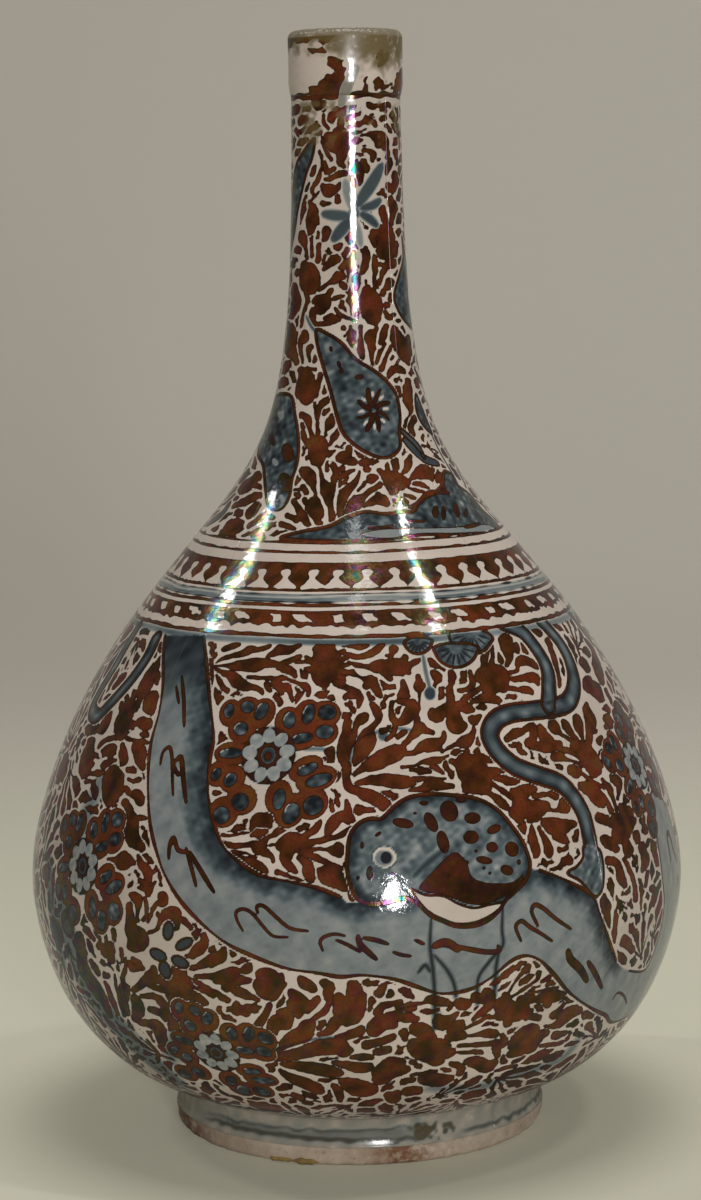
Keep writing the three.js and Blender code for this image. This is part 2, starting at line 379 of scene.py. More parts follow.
# The motifs, in photograph pixels. Marks and spots are x, y, two half sizes and a tilt; lines
# have a width beside their points.
# The stream's banks, and the waves on it.
STREAM_LOW = [
    (165, 635), (163, 676), (160, 708), (152, 738), (148.5, 765), (148, 795), (150.5, 825), (156, 850),
    (165, 875), (181, 901), (202, 924), (225, 942), (248, 954), (285, 968), (317, 973), (340, 977),
    (363, 975.5), (393, 979), (418, 987), (437, 993), (455, 993), (474, 988), (492, 977), (510, 962),
    (524, 956), (538, 959), (552, 972), (570, 993), (589, 1007), (605, 1015), (620, 1021)]
STREAM_HIGH = [
    (650, 800), (655, 825), (662, 870), (664, 908), (658, 938), (646, 969), (629, 971), (616, 961),
    (609, 940), (600, 915), (593, 897), (575, 885), (556, 876), (540, 870.5), (528, 870), (500, 880),
    (430, 890), (355, 903), (340, 897), (317, 888), (287, 881), (259, 875), (239, 862), (224, 848),
    (216, 830), (210, 806), (208, 788), (210, 761), (213.5, 738), (211, 710), (207, 669), (204, 635)]
SQUIGGLES = [
    ([(160, 764), (163, 752), (169, 747), (172, 756), (172, 775), (173, 795)], 3.4), ([(174, 762),
    (181, 757), (183, 775), (186, 802)], 4.6), ([(172, 760), (178, 774), (182, 770)], 3.6),
    ([(182, 676), (184, 700), (184, 726)], 3.6), ([(176, 686), (179, 703)], 3), ([(169, 858),
    (170, 845), (174, 838), (178, 850), (188, 852)], 4.2), ([(186, 848), (192, 870), (196, 886)], 3.6),
    ([(190, 852), (203, 874), (214, 892)], 4.2), ([(243, 931), (237, 920), (236, 912), (243, 909),
    (252, 913), (262, 925), (273, 936), (288, 937)], 3), ([(258, 913), (257, 906), (264, 906),
    (276, 917), (290, 928), (308, 931)], 3.2), ([(323, 951), (320, 942), (324, 937), (334, 934),
    (345, 936)], 3), ([(336, 940), (348, 945), (360, 952)], 3.2), ([(358, 936), (360, 944), (368, 952),
    (376, 959)], 5), ([(364, 938), (376, 940), (388, 944)], 4), ([(393, 952), (402, 955), (411, 956)],
    3.2), ([(415, 940), (424, 944)], 3.4), ([(434, 946), (442, 943), (450, 944), (458, 950)], 7),
    ([(450, 945), (468, 949), (487, 952), (499, 951), (498, 946)], 4.4), ([(521, 941), (516, 927),
    (522, 921), (530, 927), (540, 933), (552, 941)], 3.6), ([(538, 926), (532, 912), (535, 905),
    (543, 908), (556, 919), (571, 929)], 3.8), ([(568, 951), (571, 960), (580, 969), (587, 981)], 7),
    ([(588, 962), (594, 971), (602, 988)], 5), ([(613, 1000), (618, 993), (624, 996), (627, 1004)],
    2.4)]

# The bird, with the pale crescent of its breast, its wing, spots and legs.
BIRD = [
    (348, 850), (350, 836), (357, 825), (368, 819), (380, 819), (386, 815), (396, 805), (410, 797),
    (430, 794), (450, 795), (471, 797.5), (487, 803), (501, 813), (512, 826), (522, 840), (527.5, 853),
    (530, 866), (526, 880), (516, 891), (506, 900), (499, 911), (487, 921), (473, 926), (456, 926),
    (443, 921), (430, 915), (418, 904), (404, 898), (388, 902), (371, 904), (358, 899), (351, 886),
    (347, 868)]
CRESCENT = [
    (411, 889), (425, 895), (443, 896), (459, 904), (474, 908), (489, 905), (503, 903), (498, 910),
    (486, 918), (472, 923), (456, 923.5), (443, 919), (431, 913), (421, 904)]
WING = [
    (419, 886), (432, 872), (444, 859), (456, 852), (467, 862), (472, 876), (484, 882), (496, 883),
    (512, 882), (524, 874), (518, 888), (502, 898), (486, 904), (469, 904), (453, 898), (443, 894),
    (430, 893), (421, 890)]
SPOTS = [
    (449, 811, 9, 11, 0.4), (472.5, 818, 8.5, 6, 0), (494, 829, 7.5, 4.5, 0.4), (471, 837, 8, 7, 0),
    (492, 847, 6, 5.5, 0), (512, 849, 7, 8, 0.4), (484, 860, 8.5, 4, -0.2), (507, 870, 7, 5, -0.5),
    (403, 823, 11, 5, -0.2), (370, 873, 4, 7.5, 0), (431, 822, 6, 11, 0.5), (443, 842, 6, 12, 0.25),
    (461, 800, 6, 3, 0), (424, 803, 5, 2.5, 0), (378, 834, 4, 2, 0.6), (392, 874, 3, 2, 0),
    (362, 845, 2, 4, 0), (358, 878, 2, 3, 0), (476, 851, 2, 2, 0), (467, 862, 2, 2, 0),
    (415, 813, 2.5, 1.6, 0), (484, 868, 2, 2, 0), (490, 873, 2, 2, 0), (519, 862, 2.4, 3, 0)]
LEGS = [
    [(431, 919), (430, 946), (433, 971), (435, 1004), (434.5, 1029)], [(503, 904), (502, 929),
    (503, 946), (490, 961), (478, 979), (477.5, 1004)], [(434, 955), (447, 970), (454, 984),
    (456, 997)], [(500, 948), (496, 968), (494, 1000)], [(418, 973), (425, 965), (430, 972)]]

# Blue branches.
BRANCH_LEFT = [(500, 622), (522, 632), (538, 651), (547, 669), (549, 688), (548, 706)]
BRANCH = [
    (540, 620), (559, 641), (570, 662), (574, 681), (571, 698), (560, 706), (536, 710), (511, 713),
    (496, 720), (490, 734), (497, 750), (515, 766), (538, 775), (560, 783), (574, 797), (584, 815),
    (589, 836), (592, 853)]
BRANCH_FOOT = [
    (584, 846), (583, 857), (577, 866), (567, 873), (580, 881), (594, 896), (602, 890), (604, 872),
    (600, 850)]
LOOP = [
    (137, 628), (116, 664), (99, 692), (92, 708), (97, 716), (108, 706), (129, 682), (146, 658),
    (156, 638)]
RIGHT_LIMB = [[(564, 606), (577, 622), (592, 642)], [(607, 650), (618, 668)]]
TENDRILS = [
    [(350, 764), (353, 745), (366, 735), (382, 731), (396, 728), (412, 730)], [(304, 749), (322, 749),
    (338, 753)], [(252, 1052), (278, 1049), (305, 1041), (325, 1038), (346, 1037)]]

# The motifs over the bands.
LEAF = [
    (316, 330), (328, 334), (342, 343.5), (356, 359.5), (374.5, 371), (388, 382.5), (397, 396),
    (400, 415), (399, 431), (400, 446), (393, 455), (381, 457.5), (365, 451.5), (351.5, 442),
    (342, 431), (335.5, 410), (331, 392), (324, 369), (318, 348)]
LEAF_MARKS = [
    (359.3, 377, 5, 3, 0.2), (338.9, 364.2, 2.2, 4, 0.3), (341.4, 370.6, 2.2, 3.4, 0.3),
    (331, 349, 2, 3, 0.3)]
DROP = [
    (280, 394), (291, 396.5), (295, 415), (298.5, 438), (297.5, 461), (292, 479), (289, 497),
    (280, 509), (269, 506), (265.5, 488), (263, 465), (257.5, 452), (262, 435.5), (267.5, 415),
    (273, 401)]
DROP_MARKS = [(285, 482, 7, 10, 0.2), (287.8, 452.8, 6.4, 10, 0.2), (272, 440, 3, 6, 0.3)]
HILL = [
    (281, 536.5), (303, 531), (329, 526), (347, 517), (365, 511.5), (384, 513.5), (402, 511.5),
    (413, 511), (420, 500), (434, 493), (443, 484), (444, 472), (452, 474), (457, 484), (471, 495),
    (482, 509), (494, 520), (500, 529), (487, 532), (452, 534), (418, 534.5), (388, 540), (360, 540.5),
    (319, 540.5), (292, 539)]
HILL_PALE = [
    (360, 534), (380, 529), (410, 528), (450, 527), (485, 524), (496, 529), (487, 531), (452, 533),
    (418, 533.5), (388, 538)]
WINDOWS = [
    (435.4, 511.4, 3.6, 6.5, 0), (443.8, 512.8, 2.6, 7.8, 0), (456.5, 510, 3.2, 7.8, 0.3),
    (466.3, 512.8, 2, 5, 0)]
HILL_LINES = [
    ([(295, 548.6), (310.7, 545.7), (322, 549)], 4.5), ([(336, 548), (345, 543.5), (353.4, 549)], 4.5),
    ([(409, 507), (417, 504), (424, 497), (431, 492), (444, 492), (449, 492)], 6.5), ([(441, 473),
    (440, 480), (444, 486), (447, 491)], 6), ([(368, 527), (382, 527), (393, 525)], 4.6), ([(409, 521),
    (417, 521), (424, 521)], 4.6), ([(465, 527), (473, 525), (480, 523)], 5.5)]
STAR = [
    ([(355.8, 206.7), (371.6, 184), (382, 164.6)], 13, 0.78), ([(361, 208.5), (373.3, 205),
    (380.4, 199.7)], 9, 0.8), ([(361, 213.8), (369.8, 219), (377.5, 226)], 9, 0.85), ([(350.5, 219),
    (341.8, 229.5), (333, 240)], 12, 0.8), ([(348.8, 215.5), (336.5, 215.5), (322.5, 213.8)], 11, 0.75),
    ([(351.6, 208.5), (348, 194.5), (345.3, 180.4)], 9, 0.4), ([(355, 220), (359, 233), (361, 246)], 7,
    0.4)]
NECK_LEFT = [
    (314.5, 139), (312.5, 156), (306.7, 173), (302.5, 187.5), (298, 208.5), (293.5, 236.6), (289, 271),
    (287, 270), (289.5, 236.6), (291, 208), (292.5, 187.5), (294, 173), (297, 162), (303, 152),
    (309, 144)]
NECK_RIGHT = [
    (402, 236.6), (403, 257.6), (398, 278.7), (394.4, 296), (398, 310), (405, 321), (412, 328),
    (410, 310), (407.7, 292.7), (408.4, 278.7), (405.6, 257.6)]
NECK_LOW = [(416, 394), (422.5, 408.5), (429.5, 426), (432, 434), (422.5, 424), (416, 409)]

# The rosettes: place, scale and turn of each, and the petals round one, in mm from its middle.
ROSETTES = [
    ((268, 755), 1, 0), ((82, 866), 0.98, 0.2), ((216, 1053), 0.92, -0.3), ((636, 765), 0.9, 0.5)]
CLUSTERS = [
    (-12.5, 11.3, 1.3, 1.9, 0), (-7.4, 12.7, 1.8, 1.5, -0.3), (-3.4, 11.7, 1.5, 2.4, -0.4),
    (-8.4, 6.7, 1.9, 1.7, 0), (-10.3, 0, 3.1, 1.2, 0.1), (-13.6, -5.8, 1.1, 1.7, -0.5),
    (-9.4, -6.9, 1.5, 1.9, -0.7), (-6, -12.4, 2.2, 2.1, 0), (-10.8, -16.1, 2.1, 2.1, 0.2),
    (4.3, -11.3, 1.5, 2.6, -0.1), (7.7, -14.8, 1.9, 2.7, -0.4), (13.2, -12.7, 2.4, 2.4, 0),
    (13.9, -6.2, 3.3, 1.5, 0.3), (10.8, -3.4, 2.6, 1.2, 0.5), (8.4, 4.8, 2.6, 1.2, 0.2),
    (13.9, 6.5, 2.2, 1.7, 0), (13.9, 11.7, 2.2, 1.9, -0.2), (9.1, 11.3, 1.5, 2.6, -0.1),
    (4.3, 9.6, 1.5, 2.2, 0.2)]
BUDS = [(168, 931, 1.5), (184, 944, 0.5), (158, 955, 2.6), (180, 962, -0.5), (165, 970, -1.2)]

# Washes have a strength after their width. Along the left edge and low on the belly they are also
# painted shade.
WASHES_AND_SHADE = [
    ([(430, 1089), (473, 1089), (513, 1076), (559, 1061), (579, 1039)], 17, 0.5), ([(62, 900),
    (72, 950), (95, 1000), (130, 1040), (175, 1080)], 46, 0.6), ([(48, 860), (52, 905), (62, 960)], 26,
    0.7), ([(100, 780), (84, 820), (70, 850)], 24, 0.45), ([(190, 1020), (170, 1060)], 26, 0.45),
    ([(150, 1056), (190, 1092), (240, 1108), (290, 1112)], 14, 0.4)]

# Wear on the collar, and the filler under it.
COLLAR_PATCHES = [
    [(309, 49), (318, 48), (327, 50), (326, 54), (317, 55), (310, 54)], [(328, 58), (334, 57),
    (340, 58), (343, 64), (346, 71), (341, 83), (339, 95), (317, 96), (308, 93), (309, 88), (317, 85),
    (329, 77), (336, 71), (331, 66)], [(288, 38), (303, 36), (319, 31), (334, 30), (334, 39), (326, 43),
    (318, 39), (311, 41), (299, 43), (292, 49), (287, 52)], [(375, 54), (381, 51), (386, 56), (386, 64),
    (380, 68), (376, 66)], [(362, 79), (364, 77), (367, 80), (367, 90), (361, 90)], [(376, 80),
    (380, 78), (385, 82), (388, 85), (385, 90), (376, 90)], [(392, 85), (397, 70), (401, 70), (401, 92),
    (391, 90)], [(311, 101), (318, 99), (326, 101), (324, 108), (316, 111)]]
FILLER = [
    (355, 65), (351, 71), (345, 79), (340, 89), (338, 106), (344, 106), (349, 98), (353, 85), (356, 77),
    (359, 68)]

# Where the strokes below fill the ground.
DRAWN_ZONES = [
    [(205, 640), (560, 640), (600, 850), (350, 900), (205, 850)], [(600, 700), (640, 760), (650, 880),
    (610, 900), (590, 850), (560, 720)], [(150, 930), (620, 1020), (540, 1090), (250, 1105),
    (140, 1000)], [(75, 740), (150, 650), (150, 840), (210, 930), (150, 1000), (60, 940), (70, 850)],
    [(292, 100), (400, 100), (420, 330), (450, 430), (520, 535), (200, 535), (270, 400), (290, 300)]]

# Brush strokes of the foliage, in half pixels: x, y and width at the first point, then for each
# next point the steps in x and y and the width there.
STROKES = [
    (684,1292,4, 20,0,5, 14,0,13, 12,-2,12, 7,0,7),
    (689,1307,10, 19,6,10, 22,-2,10, 15,-7,15, 12,-9,15, 8,-8,11),
    (696,1323,5, 20,8,9, 22,3,12, 19,-1,27, 19,0,32, 20,0,36, 14,0,29),
    (779,1321,10, 5,-15,12, 4,-8,18), (786,1308,7, -12,3,7), (803,1325,19, 7,-10,16),
    (815,1333,15, 12,-8,13, 14,-7,8), (764,1342,15, 12,11,15, 5,4,12), (810,1340,15, 8,5,10),
    (694,1345,6, 10,0,12, 14,8,7, 15,6,15, 11,3,22, 6,12,19, 7,12,15, 4,6,10), (733,1371,17, 18,-13,10),
    (665,1357,7, 17,10,10, 14,6,8, 12,8,15, 10,10,17, 0,12,11, -1,11,7),
    (708,1391,15, -12,-1,14, -6,5,11), (805,1363,9, 3,11,15, 0,12,24), (799,1391,11, 17,0,11),
    (836,1353,11, 3,9,15, -1,12,22, 7,-4,15), (839,1381,10, 0,15,5, -1,14,6, 0,12,6),
    (865,1344,12, 8,7,21, 4,6,15, -6,10,9, -3,7,10),
    (784,1405,12, -2,15,11, 4,17,15, 10,7,15, 14,-5,22, 10,-14,29, 7,-15,22, -12,-5,17, -17,-3,12),
    (791,1451,12, -4,13,12, -6,9,11, -8,6,9),
    (745,1408,11, 7,10,17, 5,12,17, 0,9,14, -7,10,12, -10,12,19, -5,17,36, -10,20,36, -8,16,24,
    -7,15,10), (733,1430,11, -9,6,22, -9,8,13, -5,12,11, -3,15,12, -6,14,19),
    (692,1430,10, 3,14,15, -2,22,22, -3,22,32, -3,22,27, 2,17,15), (675,1431,10, 9,-1,15, 15,0,10),
    (692,1529,17, 3,15,17, -3,12,15, 4,17,19, 17,9,17, 25,10,27, 21,10,27, 15,12,22, 12,5,15),
    (708,1548,9, 20,-14,19, 22,-10,32, 21,-10,36, 20,-9,34, 14,-5,19), (784,1498,15, 2,-5,7),
    (805,1493,12, 13,-17,12, 12,-12,19, 9,-10,22, 12,6,12, 15,5,11), (834,1449,15, -1,-15,12, 2,-14,6),
    (809,1507,10, 21,-3,12, 17,-11,22, 17,-5,27, 14,-3,19, 9,-9,11, 0,-11,7),
    (854,1498,15, 24,-2,12, 7,8,7),
    (883,1505,5, 15,-10,9, 16,-8,10, 15,-4,27, 12,-7,19, 7,-15,10, -1,-6,8),
    (805,1534,8, 25,-3,7, 14,-7,10, 22,-2,16, 19,-6,8, 11,-5,6), (864,1531,12, 14,8,9, 9,8,6),
    (712,1569,6, 21,-7,15, 24,-3,23, 24,3,29, 24,2,27, 17,-1,19),
    (827,1557,11, 27,0,10, 24,0,6, 11,0,5),
    (820,1580,7, 17,-1,8, 14,-4,15, 10,-6,27, 15,1,27, 9,3,15, 20,0,10),
    (931,1527,44, 15,17,63, 15,12,48), (941,1568,39, 29,7,29), (934,1502,12, 0,20,22),
    (954,1500,12, 2,22,24), (963,1517,22, 22,4,11, 11,1,6), (973,1544,22, 19,-5,11, 15,5,6),
    (902,1522,12, 20,7,22), (929,1581,10, 10,-16,22), (987,1548,7, 20,6,7, 17,7,14, 12,1,10),
    (977,1561,7, 22,14,7, 29,18,6), (973,1585,10, 19,7,11, 12,12,15, 11,11,12),
    (662,1396,15, 3,14,17, -5,24,24, 2,25,29, 5,12,15), (653,1553,27, 14,0,27),
    (693,1602,10, 3,17,15, 0,21,19), (658,1599,12, 7,20,10), (902,1405,19, -3,-29,15),
    (902,1369,10, 3,-17,18, -3,-7,15), (893,1415,22, -20,15,29, -7,-8,15),
    (905,1425,29, 9,26,34, 13,0,19), (917,1410,19, 17,5,22, 12,5,10),
    (940,1342,9, 4,15,12, 0,14,14, -15,8,10, -12,2,7), (922,1405,12, 17,-14,14, 17,-12,12, 17,-10,7),
    (944,1403,10, 19,-7,19, 19,0,22, 15,5,14), (980,1346,40, 16,10,50, -16,14,40),
    (967,1350,36, 39,23,27), (1023,1358,9, 20,-2,13, 16,-1,20, 14,3,17, 5,8,10),
    (1016,1376,11, 20,3,10, 17,0,15, 10,4,10),
    (1020,1345,10, 15,-5,7, 0,-17,13, 11,-2,22, 17,5,15, 13,9,8),
    (980,1333,17, 5,-20,9, -2,-20,10, -3,-13,10), (967,1330,13, 3,-23,19, 3,-17,10),
    (1010,1280,30, 5,17,27, 3,19,17, -5,14,10), (1031,1295,20, 4,8,10),
    (1096,1280,13, 7,20,10, 6,23,12, 7,23,10, 3,24,8),
    (1172,1280,10, 14,20,13, 6,20,20, 7,23,20, 6,20,13), (1166,1323,20, 10,17,13),
    (1176,1360,20, -4,13,13, 17,3,30, 10,13,23, 5,10,13), (1212,1379,8, 13,27,7, 17,30,7, 16,30,8),
    (1015,1476,17, 15,-10,20, 16,-4,13, 13,-10,15, 7,4,17, 0,23,17, -7,7,20, 17,6,20, 23,0,27,
    20,-3,17), (1078,1452,10, 8,17,22, 10,13,27), (1103,1442,17, 6,14,23, 10,10,10, 17,10,8, 16,10,10),
    (1126,1442,10, 6,10,17, 10,14,13, 14,13,7), (1151,1434,13, 5,12,22, 6,20,13, 4,13,8),
    (1172,1409,10, 4,17,20, 6,16,27, -3,24,17, -2,20,17), (1162,1496,33, 14,16,40, 13,20,36, 0,13,23),
    (1149,1492,20, 10,17,20), (1116,1496,8, 23,5,13, 17,11,9),
    (1109,1513,20, 10,0,20, 13,4,7, 24,8,8, 10,7,7), (1146,1539,23, 10,6,20, 3,-10,10),
    (1162,1545,9, 24,17,8, 23,13,10), (1200,1481,19), (1189,1462,13), (1212,1452,10, 10,14,9, 3,13,8),
    (1215,1436,20, 10,13,17), (1204,1506,17, 8,3,17, -3,13,17, -7,10,10),
    (1166,1572,20, 20,6,30, 9,17,27, 10,10,20), (1192,1572,8, 20,26,10, 13,24,10),
    (1205,1559,8, 14,19,13, 10,27,9, 6,20,8), (1225,1539,13, 7,16,23, 7,10,17, 0,13,10, -4,20,7),
    (1255,1578,13, 0,17,17, -6,10,9), (1242,1612,13, 7,20,20),
    (1232,1638,23, 17,7,40, -7,23,40, 13,-13,30, 13,-14,17), (1245,1615,20, 17,10,17),
    (1275,1608,10, 7,24,17, 5,16,10), (1199,1635,20, 13,6,20, 13,10,10, 10,14,8),
    (1210,1678,20, 12,10,23, 13,10,13), (1252,1685,20, 6,16,23, -3,10,13), (1272,1668,17, 5,13,13),
    (1292,1658,20, 10,-7,10), (1298,1681,10, -3,10,10), (1285,1691,17, 7,30,20, -5,17,13),
    (1215,1721,17, 20,7,17, 7,26,20, 7,17,13), (1249,1718,10, 6,13,10, 13,30,10, 4,39,12),
    (1295,1744,10, -3,27,10), (1305,1777,17), (1026,1585,17, 17,0,30, 16,-7,23, 10,0,13),
    (1040,1605,33, 16,13,40, 17,0,36, 20,-6,20), (1059,1572,10), (1030,1622,27, 10,16,20),
    (1069,1592,13, 24,-4,10, 13,0,20, 5,5,17), (1073,1632,23, -14,9,13),
    (1093,1618,10, 20,2,10, 16,-8,27, -3,-7,20), (1086,1641,10, 17,10,30, 16,4,36, 17,-4,23, 13,-3,13),
    (1113,1671,20, 13,7,20, 6,5,10), (1063,1651,8, 3,20,17, 3,20,20, 4,17,15),
    (1076,1655,7, 17,30,15, 5,16,21, 0,10,13), (960,1545,30, 20,4,20, 10,-7,13),
    (993,1555,10, 20,7,13, 13,0,17, 10,-3,13), (987,1569,9, 16,13,8, 20,16,8),
    (973,1582,9, 17,13,13, 16,12,20, 9,8,13), (267,1981,12, 14,-14,14, 17,-17,17, 10,-14,10),
    (301,1960,21, 21,0,21, 21,3,52, 17,11,55, -10,17,41, 24,7,21), (298,1970,14, 17,7,14, 17,7,10),
    (384,1912,14, 14,-14,21, 10,-17,14, -2,-11,10), (422,1929,17, 7,-10,28, 14,-7,24, 5,-14,12),
    (374,1936,10, 24,-2,10, 14,-2,9), (394,1953,10, 24,0,14, 25,3,31, 17,-3,34, 10,-10,21),
    (453,1974,24, 21,-14,21, 24,3,10), (480,1943,10, 14,-6,21, 7,-8,9),
    (467,1981,14, 17,6,21, 17,7,14, 16,7,9), (391,1963,10, 24,14,10, 24,14,14, 17,10,12),
    (387,1987,14, 21,18,17), (525,1950,28, 14,6,41, -3,25,45, -21,-11,21),
    (560,1956,21, -14,38,21, 24,-26,8), (601,1956,14, 7,11,24, 17,10,21),
    (584,1987,21, 10,11,31, -3,14,38, 17,-4,28, -12,24,14), (615,2022,14, 13,-17,17, 7,-7,14),
    (649,1967,21, 10,7,21, -3,17,21, 3,14,14, -13,20,14, -21,14,10), (701,1967,14, 7,10,31, 3,21,41),
    (677,1994,21, 7,18,38, 10,20,48, 24,-14,28, 7,-27,17), (670,2046,28, -14,17,17, -17,5,10),
    (529,2087,10, 13,-20,24, 11,-21,34, 17,0,31), (556,2025,10, 17,0,21, 7,14,17),
    (515,2053,21, 14,-21,17, 10,-20,15),
    (518,2105,17, 35,-6,17, 17,-12,24, 17,-10,31, 21,-10,34, 7,-14,31, 7,-4,21),
    (546,2118,14, 24,-5,24, 34,-7,28, 28,-8,31, 27,-4,38, 25,0,31), (687,2101,34, 14,0,14),
    (677,2077,17, 24,-7,21, 20,-7,21), (704,2115,10, 21,0,17, 17,0,14),
    (666,2125,10, 31,7,21, 28,4,24, 14,0,21), (563,2129,8, 28,3,21, 31,4,28, 31,6,31, 24,4,21),
    (560,2142,10, 20,14,21, 28,11,28, 24,10,28, 10,7,17), (732,2091,21, 27,-7,17, 28,-10,14),
    (749,2060,34, 14,-14,38, 24,3,21), (756,2025,21, 10,-13,17, 21,-4,14, 13,-3,14),
    (759,1987,21, 7,-13,17), (777,2101,17, -25,4,14), (680,2160,10, 24,13,38, 21,7,41, 17,0,31),
    (752,2146,21, 28,-17,31, 17,7,31, -38,24,31), (666,2170,10, 11,14,21, 3,17,14),
    (604,2198,17, -17,-7,14), (780,2032,20, 30,4,20, 23,3,13),
    (793,2016,10, 27,-7,9, 26,-3,8, 13,-7,20, 17,4,23, 17,3,17), (773,2029,9, 27,-7,8, 30,-6,9),
    (876,2032,13, 7,14,36, 16,-7,20, 14,-10,10), (916,2006,20, 13,3,27, 7,-3,17),
    (952,1996,23, 14,3,20, 10,-13,23, 6,20,20, -16,16,17, -20,17,10),
    (833,2059,30, 17,7,36, 9,26,43, 27,3,36), (873,2119,36, -37,-20,40, -10,-13,20),
    (886,2105,33, 17,0,20), (906,2062,27, 13,-10,27), (899,2076,20, 27,-4,20),
    (936,2072,8, 23,-3,10, 17,-3,20, 16,3,17), (919,2092,10, 27,-2,10, 26,-1,10, 20,-3,20),
    (916,2105,8, 23,0,10, 23,0,10), (929,2059,8, 17,-10,8, 20,-10,8, 13,-7,8),
    (1009,2013,43, 13,13,43, 20,-7,40, -43,13,23), (1012,1993,20, 7,20,20), (1042,1999,17, 23,0,20),
    (1052,2032,20, 10,-10,13), (979,2036,8, 20,-4,13), (1015,2046,20),
    (1025,1993,8, 17,-10,7, 20,-14,7, 13,-10,10, 3,-13,13),
    (1019,1983,7, 10,-17,7, 16,-20,10, 7,-6,17, 6,-7,13), (1052,1989,7, 26,-6,7, 37,-7,8),
    (1085,1963,10, 13,-7,13), (1078,1999,20, 14,-6,23, 20,0,27, 16,-4,13), (1095,2006,20),
    (1058,2032,17, 17,4,17), (1108,2032,17, 10,-10,13, 10,-13,10),
    (1092,2054,8, 26,-5,17, 10,-13,30, 13,-10,30, 17,-4,20), (1032,2089,36, 17,-17,40, 16,-10,33),
    (1058,2092,40, 20,-20,27, 14,-6,17), (1022,2109,20, 20,-4,17), (1072,2056,13),
    (1082,2092,10, 30,-3,10, 13,-3,10), (1095,2119,20, 17,-7,20, 13,-7,10), (1112,2072,20, 19,-6,13),
    (1005,2072,13, 4,14,17, -17,6,20, 3,20,13), (932,2125,13, 20,0,30, 20,10,30, 17,-10,17),
    (780,2122,20, 23,3,20), (760,2142,27, 30,0,33, 23,-3,17), (770,2158,27),
    (823,2152,8, 30,-7,8, 20,-3,8), (903,2129,13, 19,6,17, -3,14,13), (850,2158,30, 26,4,36, 23,-4,20),
    (813,2185,23, 23,-3,20), (777,2192,20, 10,6,30, 9,-10,17), (992,2142,8, 20,-7,10, 20,-3,10),
    (446,1299,11, 15,-6,11, 16,-4,8, 3,-2,4),
    (433,1325,4, 15,-9,8, 19,-4,10, 19,-6,15, 15,-7,16, 14,1,8, 11,-3,10, 11,-4,10, 4,-2,7),
    (534,1314,8, 13,-8,13, 14,-7,21, 15,1,21, 12,-4,11, 9,-5,10, 4,-3,6),
    (429,1332,3, 19,-1,7, 19,0,15, 19,-1,23, 21,0,29, 17,-4,23, 16,0,17, 17,3,13, 15,-5,13, 16,-7,11,
    13,-4,8), (557,1335,11, 15,3,17, 12,6,15, 7,8,10), (591,1323,8, 12,0,6, 11,0,8),
    (635,1298,21, 14,12,48, 5,19,63, -9,19,48, 4,19,19, 0,8,11), (636,1283,10, 1,15,11),
    (666,1287,10, -2,15,15), (687,1301,10, -15,9,15), (695,1315,8, -16,6,15), (697,1329,8, -18,2,15),
    (695,1344,10, -18,-4,15), (687,1363,10, -13,-15,15), (612,1314,7, 10,7,15), (610,1337,6, 12,3,15),
    (431,1338,6, 13,6,10, 15,6,15, 14,11,27, 15,10,23, 13,2,13, 14,4,10, 7,5,10, 3,6,6),
    (433,1350,6, 5,11,11, 8,12,13, 8,9,11), (419,1323,17, 0,17,17, 0,19,19, -1,20,11, -3,15,10),
    (495,1354,7, 12,0,8, 15,1,7, 16,1,11, 15,2,11, 15,-2,10, 5,0,8), (534,1367,13, 4,10,11, 3,4,8),
    (551,1367,21, 10,8,19, 2,11,11), (572,1373,17, 8,9,11, 2,12,10, 3,8,7),
    (576,1358,6, 13,5,7, 14,6,11, 9,4,17, 6,9,11, -2,8,10),
    (660,1359,5, 12,10,7, 9,4,8, 14,6,8, 11,5,8), (691,1392,11),
    (502,1659,8, 10,-19,24, 17,0,29, 16,-11,19, 8,-5,8), (539,1651,11),
    (440,1669,8, 19,2,6, 21,-4,6, 16,-2,6),
    (440,1685,16, 22,6,13, 26,0,11, 19,-3,16, 11,8,29, 8,-11,16, 8,-10,8, 16,-8,11, 11,-8,16, 10,-6,15),
    (529,1704,21, 13,8,11, 4,11,6), (539,1691,5, 11,-3,6), (561,1691,24, 21,-10,35, 19,7,40),
    (574,1705,32, -3,15,19, 11,14,16, 8,9,11), (609,1672,13, 19,-12,16, 9,-12,12, 4,-8,6),
    (614,1688,19, 22,-7,12, 21,-4,10, 22,-5,13, 18,-11,16, 11,-5,13),
    (657,1664,16, 7,-15,24, 15,-15,21, 16,0,24, 13,7,10), (695,1626,16, -2,-18,10),
    (620,1700,13, 16,-3,6, 18,2,8, 22,1,29, 0,-8,19), (601,1705,13, 27,8,13, 26,13,13, 30,12,11),
    (641,1742,16, 16,8,40, 19,9,35, 16,15,19), (598,1715,13, 16,13,19, 4,19,24, 4,19,13),
    (689,1728,8, 6,27,11, 2,21,11, 8,22,11), (462,1712,21, 18,5,16, 27,9,19, 14,10,21, 10,8,13),
    (467,1704,11, 21,1,6, 24,10,6), (553,1744,8, 18,6,8, 27,10,8, 16,6,6),
    (614,1519,8, 19,-1,12, 16,-1,10), (324,1314,11, -11,17,17, -12,19,22, -8,20,25, -11,17,25),
    (315,1349,17, -2,15,11), (318,1291,17, 3,11,8), (307,1392,25, -8,14,31, 0,14,20),
    (270,1384,11, -8,25,14, -6,11,17), (254,1395,11, 0,17,14), (244,1406,8, 1,20,17),
    (256,1426,25, -11,17,36, -3,17,31, -2,14,14), (262,1448,20, -28,0,17), (279,1398,14, -11,22,11),
    (265,1448,7, 14,-2,17, 11,2,28, 9,-2,14), (254,1476,11, 19,5,8, 11,1,11, 12,3,8),
    (273,1488,20, 6,14,31, 0,17,22, 5,14,17), (245,1488,8, 0,16,16, 3,17,17, -6,9,8),
    (234,1476,8, -6,-2,6, -16,8,7, -15,11,6), (209,1504,17, 8,-5,20, 11,-3,11, -8,14,17),
